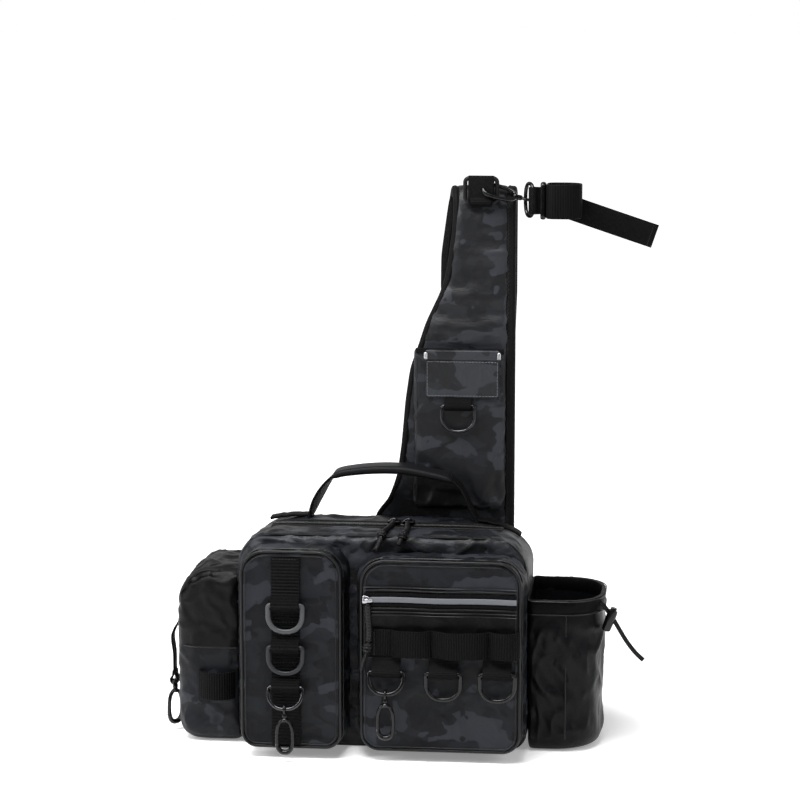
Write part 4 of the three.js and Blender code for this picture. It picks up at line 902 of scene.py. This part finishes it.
# Cords
MAIN_LEFT = [(5.7, -6.7, 186.9), (3.7, -20, 186.1), (1.7, -34, 186.1), (0.7, -43.5, 186.1)]
MAIN_LEFT += [(-0.3, -49.5, 182.9), (-2.3, -54.5, 176.9), (-4.3, -60.5, 173.3)]
MAIN_RIGHT = [(17.9, -6.7, 186.9), (18.9, -20, 186.1), (19.9, -34, 186.1), (18.9, -43.5, 186.1)]
MAIN_RIGHT += [(16.9, -49.5, 182.9), (14.9, -52.5, 177.4)]
POCKET_LINE = [(-7, -90.1, 135.3), (-6.4, -90.3, 124), (-5.8, -90.3, 113), (-6.2, -90.3, 102.8)]
POCKET_LINE += [(-8, -90.1, 94), (-10.6, -89.9, 86), (-12.6, -89.7, 78.4)]
DRAW_LINE = [(182.9, -28, 126.7), (186, -28, 123.7), (189, -28.4, 119.9), (192.2, -28.8, 115.4)]
DRAW_LINE += [(195.8, -29.2, 109.8), (200.6, -29.6, 101.7), (206.4, -30, 92.7)]
DRAW_LINE += [(212.6, -30, 84.9), (219.5, -30, 78.3)]


def cord_piece(name, node, route, diameter, doubled=False):
    line = smooth(route, 90)
    parts = [tube(line, diameter, turn=0.25)]
    if doubled:
        apart = np.array([0.62, 0.55, 0.6]) * 0.9
        parts = [tube(line + apart * side, 2.1, count=10, turn=0.3) for side in (-1, 1)]
    piece = build(name, parts, BRAID, node)


def knot(name, at, size, direction):
    """Overhand knot: a short tight coil round the cord"""
    direction = unit(direction)
    side = unit(np.cross(direction, AXIS_Y if abs(direction[1]) < 0.9 else AXIS_X))
    depth = np.cross(direction, side)
    route = []
    for share in np.linspace(0, 1, 64):
        angle = share * 2.6 * 2 * math.pi
        swell = size * (0.42 + 0.12 * math.sin(math.pi * share))
        out = side * swell * math.cos(angle) + depth * swell * math.sin(angle)
        route.append(np.asarray(at) + direction * (share - 0.5) * size * 1.15 + out)
    return build(name, [tube(route, size * 0.46, count=8)], BRAID)


def pull_sleeve():
    line = smooth(POCKET_LINE, 120)
    part = line[(line[:, 2] < 134) & (line[:, 2] > 104)]
    turns = lengths(part)[-1] / 2.6

    def outline(share):
        return oval(1, 1, 14) * (5.4 + 0.35 * math.sin(share * turns * 2 * math.pi))

    return build("pull_sleeve", [sweep(spaced(part, 60), outline)], MATT_PLASTIC)


left_knot = knot("left_pull_knot", (0.2, -47.2, 184.6), 5.2, (-0.2, -0.9, -0.5))
right_knot = knot("right_pull_knot", (17.8, -48.2, 184.0), 5.2, (-0.2, -0.7, -0.7))
cord_piece("main_pull_left_cord", "main_zip_pull_left", MAIN_LEFT, 4.2)
cord_piece("main_pull_right_cord", "main_zip_pull_right", MAIN_RIGHT, 4.2)
sleeve = pull_sleeve()
pocket_knot = knot("pocket_pull_knot", (-7.0, -90.6, 98.6), 5.6, (-0.2, 0, -1))
cord_piece("pocket_pull_cord", "pocket_zip_pull", POCKET_LINE, 3.2)

# Left side pocket: how far out each row lies, and how much its top, base and ends draw in
SIDE_ROWS = (
    (-0.02, 0, 0, 0),
    (0.3, 0.002, 0, 0),
    (0.56, 0.004, 0, 0),
    (0.78, 0.05, 0.004, 0.01),
    (0.92, 0.12, 0.03, 0.05),
    (0.985, 0.18, 0.06, 0.12),
    (1.0, 0.235, 0.1, 0.19),
)


def side_pocket():
    rings, edge = [], []
    for out, top, base, ends in SIDE_ROWS:
        half = 46 * (1 - 2 * ends)
        x, high = -123.3 - 52 * out, 152 * (1 - top)
        rings.append(placed(evened(corners(-half, half, 152 * base, high, [14] * 4), 100), 0, x))
        edge.append((x, -half + 0.8, high - 0.6))
    piece = shell("side_pocket_cover", rings, CAMO_SIDE, "left_side_pocket", 3.6)

    def held(points):
        x, _, z = points.T
        return np.clip(np.maximum(ramp(x, -130, -125), ramp(-z, -8, -3)), 0, 1)

    puff(piece, held, 0.8, 3)
    finer(piece)
    crease(piece, 2.2, 17, 8, lambda points: ramp(points[:, 2], 3, 14))
    limit(piece, (2, GROUND, None), (0, -176.5, -122), (1, -46.6, None))
    front = [(-124.5, -46.3, 83.8), (-150, -46.4, 83.8), (-163, -45.4, 83.8), (-170.5, -40.5, 83.8)]
    lines = [(np.array(edge[1:]), 2.2), (np.array(edge[1:]) + [0, 5, 0], 1.4), (front, 1.4)]
    seams = [tube(smooth(line, 40), size, count=8) for line, size in lines]
    build("side_pocket_seams", seams, PIPING)


side_pocket()
band("side_loop_look", "side_tool_loop", (-156, -126), 40, 64, -46.3, ((0, 1, 10.8),), 40, 0.0)

# Hanging strap and its hook
HANGING = [(-176.1, -10, 112), (-176.1, -10, 103.3), (-179.9, -10, 97.3), (-185.5, -10, 85.9)]
HANGING += [(-184.3, -10, 69.1), (-184.3, -10, 52)]
loop = [(-184.3 + 3.2 * math.sin(a), -10, 45.6 - 3.6 * math.cos(a)) for a in np.linspace(-2.7, 2.7, 30)]
loop = [(-185.1, -10, 54)] + loop + [(-183.4, -10, 54)]
parts = [sweep(smooth(HANGING, 70), bar(12, 1.6), AXIS_Y), sweep(loop, bar(11, 1.4), AXIS_Y)]
build("hanging_strap_look", parts, TWILL, "hanging_strap")
BOW = ((-17.6, 45), (-16, 41.6), (-12, 40.4), (-8, 40.4), (-4, 41.6), (-2.4, 45))
bow = smooth(placed(BOW, 0, -184.3), 30)
eye_bar = np.linspace((-184.3, -17.6, 45), (-184.3, -2.4, 45), 8)
parts = [tube(eye_bar, 2.4, count=10), tube(bow, 2.2, count=10)]
parts += [moved(part, (-184.3, -10, 44.4)) for part in hook_parts(45)[1:]]
build("hanging_hook_look", parts, PLASTIC, "hanging_hook")


# Bottle pocket: an open cup of smooth nylon with a rim
def cup_ring(z, drawn, count=120):
    outline = corners(123.3 + drawn * 0.2, 185.0 - drawn, -46.0 + drawn, 46.0 - drawn, (34, 34, 4, 4), 10)
    return placed(evened(outline, count), 2, z)


def bottle_pocket():
    rows = [(0.2 + 15 * rise * 0.9, 11 * inset) for rise, inset in quarter(5)]
    rows += [(z, 1.1 * math.sin(z * 0.045)) for z in (26, 38, 50, 62, 74, 86, 98, 108)]
    rows += [(117, 0.3), (121, 0.3), (123.4, 0.5), (123.6, 1.2), (123.4, 1.9), (121, 2.1)]
    rows += [(z, 2.8) for z in (100, 70, 40, 22)] + [(8, 8)]
    cup = loft([cup_ring(z, drawn) for z, drawn in rows])
    piece = build("bottle_pocket_cover", [cup], SMOOTH_NYLON, "bottle_pocket")
    finer(piece, 2)

    def loose(points):
        return ramp(points[:, 2], 4, 18) * (1 - ramp(points[:, 2], 100, 114))

    # Slack cloth: leaning folds across the front
    points = places(piece)
    x, y, z = points.T
    fold = np.sin((z * 0.75 + x * 1.15) * 2 * math.pi / 47) ** 3
    points[:, 1] -= 1.6 * fold * loose(points) * ramp(-y, 20, 44)
    place(piece, points)
    crease(piece, 3.4, 22, 12, loose, (1.1, 1, 0.7))
    limit(piece, (0, 123.3, 187), (2, GROUND, None))
    rows = [(119.2, 0.2), (119.2, -1.0), (120.4, -1.6), (125, -1.4), (130, -1.6), (131.4, -0.8)]
    rows += [(131.4, 1.6), (130, 2.2), (120, 2.2), (119.2, 1.8)]
    rim = loft([cup_ring(z, drawn) for z, drawn in rows], True)
    crease(build("bottle_rim_look", [rim], NYLON, "bottle_rim"), 0.8, 12, 14)
    seams = [tube(cup_ring(z, -1.9, 160), 1.0, True, 6) for z in (119.4, 130.6)]
    seams.append(tube(np.linspace((154.8, -46.4, 12), (154.8, -46.4, 118), 30), 1.5, count=6))
    build("bottle_pocket_seams", seams, PIPING)


bottle_pocket()
BARREL = ((-13.5, 2.6), (-12.7, 3.7), (-5.5, 4.2), (2.5, 4.25), (4.9, 3.9), (5.3, 3.0))
BUTTON = ((3.3, 2.6), (7.0, 2.6), (7.6, 2.2))
parts = [moved(turned(profile, 20), (192.2, -28.8, 115.4), about(AXIS_Y, 20)) for profile in (BARREL, BUTTON)]
lock = build("cord_lock_look", parts, PLASTIC, "cord_lock")
cord_piece("drawcord_look", "drawcord", DRAW_LINE, 4, True)

# Handle: how far along and how high its arch goes, as shares
HANDLE_ARCH = [(0, -0.05), (0.043, 0.33), (0.105, 0.68), (0.155, 0.86), (0.286, 0.96), (0.525, 1)]
HANDLE_ARCH += [(0.703, 0.92), (0.84, 0.8), (0.9, 0.62), (0.95, 0.27), (1, -0.05)]


def handle():
    curve = smooth([(-71 + 147 * along, 26, 184 + 44 * up) for along, up in HANDLE_ARCH], 200)
    # The left leg turns a little between its foot and the grip
    twist = math.radians(17) * np.sin(math.pi * np.clip(np.linspace(0, 1, len(curve)) / 0.24, 0, 1))
    across = np.stack([np.sin(twist), np.cos(twist), 0 * twist], axis=1)
    strap("handle_webbing_look", curve, 20, 2.4, PLAIN_WEB, "handle_webbing", across)
    part = curve[46:154]

    def section(share):
        taper = 0.72 + 0.28 * math.sin(math.pi * share) ** 0.5
        end = min(1, 14 * min(share, 1 - share) + 0.55)
        return bar(24.5 * (0.9 + 0.1 * end), 7 * taper * end, 3.2 * taper * end, 5)

    build("handle_grip_look", [sweep(part, section, AXIS_Y)], GRIP_CLOTH, "handle_grip")
    lines = [part[4:-4] + np.array([0, side * 11.4, 1.2]) for side in (-1, 1)]
    stitched("handle_stitches", lines, 2.6, 1.7, 0.5)


def handle_end(name, start, end, lift):
    """Sewn end of the handle's webbing, which lies along the body's top and stands proud at its tip"""
    surface = places(bpy.data.objects["body_cover"])
    route = []
    for x in np.linspace(start, end, 12):
        share = (x - start) / (end - start)
        near = (np.abs(surface[:, 0] - x) < 5) & (np.abs(surface[:, 1] - 27) < 8) & (surface[:, 2] > 120)
        route.append((x, 27, surface[near, 2].max() + 1.0 + lift * share**2))
    strap(name, smooth(route, 50), 14, 2.2, PLAIN_WEB, across=AXIS_Y, radius=0.9)


handle()
handle_end("handle_left_end", -68, -104.5, 2.6)
handle_end("handle_right_end", 73, 112.5, -1.4)

# Sling strap: height and reach to the left as shares, and at the rear also the inset of its right edge
FRONT_RUN = [(0, 1), (0.09, 1), (0.108, 0.99), (0.141, 0.905), (0.209, 0.84), (0.3, 0.807), (0.417, 0.78)]
FRONT_RUN += [(0.508, 0.746), (0.56, 0.696), (0.631, 0.636), (0.718, 0.528), (0.767, 0.49), (0.88, 0.45)]
REAR_RUN = [(0.88, 0.516, 0), (0.81, 0.541, 0), (0.71, 0.544, 0), (0.6, 0.5, 0.01)]
REAR_RUN += [(0.5, 0.43, 0.04), (0.4225, 0.38, 0.07)]
STRAP_RIGHT, STRAP_WIDTH, STRAP_BASE, STRAP_RISE = 105, 122, 150, 319.5
FRONT_Y, REAR_Y, FOLD_RADIUS, FOLD_Z = 52.3, 74.3, 11, 454
HALF = 4.5


def strap_rows(count=150):
    rows = [(reach, 0, FRONT_Y, STRAP_BASE + STRAP_RISE * height) for height, reach in FRONT_RUN]
    for step in range(9):
        share = step / 8
        angle = math.pi * (1 - share)
        y = FRONT_Y + FOLD_RADIUS + FOLD_RADIUS * math.cos(angle)
        rows.append((0.438 + (0.49 - 0.438) * share, 0, y, FOLD_Z + FOLD_RADIUS * math.sin(angle)))
    rows += [(reach, inset, REAR_Y, STRAP_BASE + STRAP_RISE * height) for height, reach, inset in REAR_RUN]
    rows = np.array(rows)
    along = lengths(rows[:, 2:])
    wanted = np.linspace(0, along[-1], count)
    reach = np.interp(wanted, along, rows[:, 0])
    for _ in range(3):
        reach[1:-1] = (reach[:-2] + 2 * reach[1:-1] + reach[2:]) / 4
    inset = np.interp(wanted, along, rows[:, 1])
    return smooth(rows[:, 2:], count), STRAP_RIGHT - STRAP_WIDTH * reach, STRAP_RIGHT - STRAP_WIDTH * inset, wanted


strap_route, strap_left, strap_right, strap_along = strap_rows()
strap_tangents = np.array([unit(tangent) for tangent in np.gradient(strap_route, axis=0)])
# Out of the strap's front: -Y on the front run, up at the fold, +Y behind
strap_out = np.stack([-strap_tangents[:, 1], strap_tangents[:, 0]], axis=1)


def strap_point(index, x, out):
    return (x, *(strap_route[index] + strap_out[index] * out))


def strap_part(section):
    """Solid along the strap, from its section at each place and where the weave starts there"""
    rows, strips = [], []
    for index, along in enumerate(strap_along):
        places_across, start = section(index)
        rows.append([strap_point(index, x, out) for x, out in places_across])
        strips.append([(x - start, along) for x, _ in places_across])
    return loft(rows, strip=strips)


def strap_pad():
    def inner(index):
        left, right = strap_left[index] + 1, strap_right[index] - 1
        middle = (left + right) / 2
        return bar(right - left, 2 * HALF - 1.6, 3.4, 4) + [middle, 0], middle

    pad = build("strap_pad_look", [strap_part(inner)], LINING, "strap_pad")

    def face(index):
        left, right = strap_left[index] + 5.4, strap_right[index] - 8.2
        shares = [column / 26 for column in range(27)]
        front = [(left + (right - left) * s, HALF - 1.4 + 1.9 * math.sin(math.pi * s) ** 0.45) for s in shares]
        return front + [(x, HALF - 2.2) for x, _ in reversed(front)], 0

    points, faces, _ = strap_part(face)
    panel = build("strap_panel", [(points, faces, np.zeros((len(points), 2)))], CAMO_STRAP, sharp=60)
    crease(panel, 2.4, 24, 21, lambda points: np.where(points[:, 1] < 60, 1.0, 0.5), (0.6, 1, 1.5), 0.4)
    points = places(panel)
    # The padding bulges just above the pouch's top, and lies in soft folds further up
    front = points[:, 1] < 58
    for middle, reach, depth in ((348, 7, 3.4), (374, 8, 1.8), (412, 9, 1.6), (438, 10, 1.2)):
        points[front, 1] -= depth * np.exp(-(((points[front, 2] - middle) / reach) ** 2))
    behind_pouch = (points[:, 2] < 331) & (points[:, 1] < 60)
    points[behind_pouch, 1] = np.maximum(points[behind_pouch, 1], 47.9)
    place(panel, points)
    for side, edges, inward, width in (("left", strap_left, 1, 6.4), ("right", strap_right, -1, 9.2)):
        outline = corners(0, width, -HALF, HALF, (0.9, 3.0, 3.0, 0.9), 4)

        def hem(index):
            return [(edges[index] + inward * (width - a), b) for a, b in outline], edges[index]

        build("strap_binding_" + side, [strap_part(hem)], BINDING)
    zigzag = []
    for index in range(len(strap_route) - 1):
        step = np.append([0], strap_route[index + 1] - strap_route[index])
        for across, part in ((2.6, 0), (1.2, 0.5)):
            zigzag.append(strap_point(index, strap_right[index] - 8.2 + across, HALF + 0.15) + step * part)
    build("strap_zigzag", [tube(zigzag, 0.5, count=4)], STITCH)


strap_pad()


# Pouch and flap on the strap
def plate(rows, left, right, base, top, radii, steps, count):
    """Rings of a flat form that stands across Y"""
    rings = []
    for y, drawn in rows:
        outline = corners(left + drawn, right - drawn, base + drawn, top - drawn, radii, steps)
        rings.append(placed(evened(outline, count) if count else outline, 1, y))
    return rings


def strap_pouch():
    rows = ((40.9, 4.2), (41.2, 2.0), (42.6, 0.6), (44.5, 0.0), (47.4, 0.0))
    rings = plate(rows, 17.5, 97.5, 189, 331, (13, 3, 3, 7), 8, 140)
    piece = shell("strap_pouch_cover", rings, CAMO_STRAP, "strap_pouch", 2.4)

    def held(points):
        return np.clip(np.maximum(ramp(points[:, 1], 44.8, 46.4), ramp(points[:, 2], 286, 292)), 0, 1)

    def loose(points):
        return ramp(-points[:, 1], -46.5, -43) * (1 - 0.8 * ramp(points[:, 2], 282, 292))

    puff(piece, held, 1.2, 2.5)
    finer(piece)
    crease(piece, 2.0, 20, 31, loose, (0.9, 1, 0.8))
    points = places(piece)
    x, y, z = points.T
    points[:, 1] += 3.2 * ramp(x, 80, 97) * (1 - ramp(z, 195, 225)) * ramp(-y, -46, -42)
    points[:, 1] = np.maximum(points[:, 1], 38.6 + 1.85 * ramp(z, 232, 266))
    place(piece, points)
    seam = np.linspace((20.6, 41.3, 194), (20.6, 41.3, 322), 40)
    build("pouch_seam", [tube(seam, 1.1, count=6)], SHADED_RING_AND_SEAM_GREY)
    hem = np.linspace((20, 40.0, 328.6), (96, 40.0, 328.6), 30)
    strap("pouch_top_binding", hem, 5, 1.4, BINDING, across=AXIS_Z)


def strap_flap():
    rings = plate(((37.75, 1.0), (38.0, 0.3), (39.2, 0), (40.2, 0.2)), 28.6, 92.2, 288, 330, (4, 2, 2, 4), 6, 120)
    crease(shell("strap_flap_look", rings, CAMO_FLAP, "strap_flap", 0.95), 0.5, 11, 41)
    spots = placed([(30.2, 319.5), (90.6, 319.5), (90.6, 290), (30.2, 290), (30.2, 319.5)], 1, 37.6)
    lines = list(zip(spots[:-1], spots[1:]))
    stitched("flap_stitches", lines, 2.7, 1.9, 0.5, PALE_STITCH)
    line = np.linspace((29, 37.7, 325.2), (91.8, 37.7, 325.2), 30)
    build("flap_band", [sweep(line, bar(8.4, 1.5, 0.7), AXIS_Z)], CAMO_FLAP)
    clips = [block((x - 1.5, 36.4, 321.4), (x + 1.5, 38.6, 327.8), 0.7) for x in (28.8, 92.0)]
    build("flap_snaps", clips, BRIGHT_METAL)


def loop_tab(node, x, width, top, bar_y, bar_z, back, material):
    """Webbing from a face, round a bar and back up"""
    route = [(x, back - 0.9, top), (x, back - 1.0, bar_z + 7), (x, bar_y - 2.0, bar_z + 4.2)]
    route += round_bar(x, bar_y, bar_z, 3.5, 40, 6)
    route.append((x, back - 1.0, bar_z - 1.2))
    strap(node + "_look", smooth(route, 60), width, 1.5, material, node, radius=0.6)


strap_pouch()
strap_flap()
loop_tab("strap_ring_tab", 57, 24, 289, 35.8, 281.5, 40.3, TWILL)
loop_tab("shoulder_tab", 75.5, 18.4, 461, 43.1, 456.9, 47.5, PLAIN_WEB)
# Webbing that fills the plastic frame: down its back, round both bars and up its front
route = []
for middle, start, end in ((476.4, 0, 180), (458.6, 180, 360)):
    for turn in np.radians(np.linspace(start, end, 12)):
        route.append((75.5, 43.6 + 2.9 * math.cos(turn), middle + 2.3 * math.sin(turn)))
strap("frame_webbing", route, 22, 1.3, TWILL, radius=0.5, closed=True)

# Rear webbing and buckle, hidden behind the strap: the places are Y and Z
REAR_X = 77.55
UPPER = ((80.2, 317), (80.2, 283), (77.2, 261), (73.8, 241), (72.3, 231), (72.3, 213.5))
LOWER = ((72.3, 178.5), (72.3, 161), (69.3, 137), (55.9, 88), (50.1, 66), (48.9, 60), (48.9, 34))
for node, run in (("rear_webbing_upper", UPPER), ("rear_webbing_lower", LOWER)):
    strap(node + "_look", smooth(placed(run, 0, REAR_X), 80), 38, 2.2, RIBBED, node)
spots = placed([(61, 36), (94, 36), (94, 58), (61, 58), (61, 36), (94, 58)], 1, 50.1)
stitched("anchor_stitches", list(zip(spots[:-1], spots[1:])), pitch=2.8, diameter=0.6)
rows = ((66.3, 2.4), (67.0, 0.9), (68.6, 0), (76, 0), (77.6, 0.9), (78.3, 2.4))
parts = [loft(plate(rows, 52.5, 102.6, 165, 227, [8] * 4, 6, None))]
parts += [tube(np.linspace((62, 78.2, z), (93, 78.2, z), 12), 1.8, count=8) for z in range(186, 207, 4)]
build("strap_buckle_look", parts, MATT_PLASTIC, "strap_buckle")

# Hardware at the strap's top
SHOULDER = (75.5, 43.1, 456.9)
route = placed(evened(corners(-13.6, 13.6, 0, 20.2, [3.4] * 4, 6), 80), 1, 0)
part = moved(sweep(route, oval(3.2, 3.8, 14), AXIS_Y, True), SHOULDER)
build("shoulder_frame_look", [part], MATT_PLASTIC, "shoulder_frame")


def shoulder_hook():
    start = np.array([113.3, 44.48, 459.5])
    back = unit(start - np.array([80.2, 43.1, 467.9]))
    up = unit(AXIS_Z - back[2] * back)
    turn = np.stack([up, np.cross(back, up), back], axis=1)
    return [moved(part, start, turn) for part in hook_parts(-45)]


build("shoulder_hook_look", shoulder_hook(), PLASTIC, "shoulder_hook")
ROD = (121, 30, 459.5)
route = squared(27.6, 16.4, 0.8, 0.8, 64)[0] - [0, 0, 8.2]
part = sweep(route, oval(3.2, 3.4, 14), AXIS_Y, True)
build("oval_ring_look", [moved(part, ROD, about(AXIS_Z, -62) @ about(AXIS_Y, 90))], PLASTIC, "oval_ring")


def rod_webbing():
    """Webbing round an upright bar, both layers then along +X"""
    length, thick, hole = 10.7, 1.8, 2.6
    route = [(length, thick / 2, 0), (hole + 3, thick / 2, 0)]
    for turn in np.radians(np.linspace(35, 325, 26)):
        route.append(((hole + thick / 2) * math.cos(turn), (hole + thick / 2) * math.sin(turn), 0))
    route += [(hole + 3, -thick / 2, 0), (length, -thick / 2, 0)]
    part = sweep(spaced(route, 90), bar(23, thick * 0.95), AXIS_Z)
    build("rod_webbing_look", [moved(part, ROD)], TWILL, "rod_webbing")


def rod_tail():
    fall = math.radians(18.7)
    along = np.array([math.cos(fall), 0, -math.sin(fall)])
    across = np.array([math.sin(fall), 0, math.cos(fall)])
    route = []
    for step in range(41):
        share = step / 40
        route.append(np.array([140, 46.2 + 5 * max(share - 0.25, 0) ** 2, 456.5]) + along * 88 * share)
    strap("rod_tail_look", route, 20.5, 1.8, PLAIN_WEB, "rod_tail", across, 0.7)
    lines = []
    for inset in (4, 9):
        spot = route[-1] - along * inset + [0, -1.1, 0]
        lines.append([spot + across * 9, spot - across * 9])
    stitched("rod_tail_stitches", lines, pitch=2.2, length=1.6, diameter=0.6)


rod_webbing()
route = placed(evened(corners(-4.9, 4.9, -14.6, 14.6, [2] * 4, 4), 60), 0, 0)
part = moved(sweep(route, oval(4.6, 2.8), AXIS_X, True), (129.2, 30, 459.5))
build("tri_glide_look", [part], PLASTIC, "tri_glide")
route = placed(evened(corners(132.9, 161.1, 15.9, 44.1, (12, 12, 7, 7)), 100), 2, 459.5)
strap("rod_loop_look", route, 29, 1.8, FINE_RIBS, "rod_loop", AXIS_Z, 0.7, True)
rod_tail()


# Stage, light and camera
def lamp(name, at, aim, size, power):
    light = bpy.data.lights.new(name, "AREA")
    light.shape = "RECTANGLE"
    light.size, light.size_y = size
    light.energy = power
    holder = bpy.data.objects.new(name, light)
    bpy.context.scene.collection.objects.link(holder)
    holder.location = at
    holder.rotation_mode = "QUATERNION"
    holder.rotation_quaternion = (Vector(aim) - Vector(at)).to_track_quat("-Z", "Y")


def stage():
    floor_mesh = bpy.data.meshes.new("floor")
    floor_mesh.from_pydata([(-30, -30, 0), (30, -30, 0), (30, 30, 0), (-30, 30, 0)], [], [(0, 1, 2, 3)])
    floor = bpy.data.objects.new("floor", floor_mesh)
    bpy.context.scene.collection.objects.link(floor)
    graph = Graph("floor_white", Roughness=0.9, Specular_IOR_Level=0.05, Emission_Strength=1.0)
    deep = graph.split(graph.place)[1]
    near, far = graph.step(deep, -1.5, -0.5), graph.step(deep, 0.2, 1.6)
    graph.set("Base Color", graph.mix(near, (0.18, 0.18, 0.18), (0.9, 0.9, 0.9)))
    glow = graph.mix(near, (0.0, 0.0, 0.0), (0.24, 0.24, 0.24))
    graph.set("Emission Color", graph.mix(far, glow, (0.8, 0.8, 0.8)))
    floor_mesh.materials.append(graph.material)
    world = bpy.data.worlds.new("studio")
    bpy.context.scene.world = world
    world.use_nodes = True
    tree = world.node_tree
    tree.nodes["Background"].inputs[0].default_value = (1, 1, 1, 1)
    # Bright behind the bag and dimmer in front of it
    split = tree.nodes.new("ShaderNodeSeparateXYZ")
    tree.links.new(tree.nodes.new("ShaderNodeTexCoord").outputs["Generated"], split.inputs[0])
    dim = tree.nodes.new("ShaderNodeMapRange")
    dim.interpolation_type = "SMOOTHSTEP"
    tree.links.new(split.outputs[1], dim.inputs[0])
    for index, value in enumerate((0.6, 0.93, 0.26, 1.0), 1):
        dim.inputs[index].default_value = value
    tree.links.new(dim.outputs[0], tree.nodes["Background"].inputs[1])
    lamp("top_box", (-0.3, -0.55, 1.5), (0, 0, 0.15), (1.2, 0.6), 46)
    lamp("left_box", (-1.5, -0.8, 1.1), (0, 0, 0.2), (0.4, 1.2), 24)
    lamp("right_box", (1.5, -0.8, 1.1), (0.05, 0, 0.25), (0.3, 1.2), 9)


stage()
bpy.context.scene.view_settings.view_transform = "Standard"

TARGET = Vector((15, -42.5, 298.5)) * MM
AZIMUTH, ELEVATION, DISTANCE = math.radians(6), math.radians(9), 2.2
level = math.cos(ELEVATION)
back = Vector((math.sin(AZIMUTH) * level, -math.cos(AZIMUTH) * level, math.sin(ELEVATION)))
camera_data = bpy.data.cameras.new("camera")
camera_data.lens = 118.99
camera_data.sensor_width = 36
camera = bpy.data.objects.new("camera", camera_data)
bpy.context.scene.collection.objects.link(camera)
camera.location = TARGET + back * DISTANCE
camera.rotation_mode = "QUATERNION"
camera.rotation_quaternion = (-back).to_track_quat("-Z", "Y")
bpy.context.scene.camera = camera
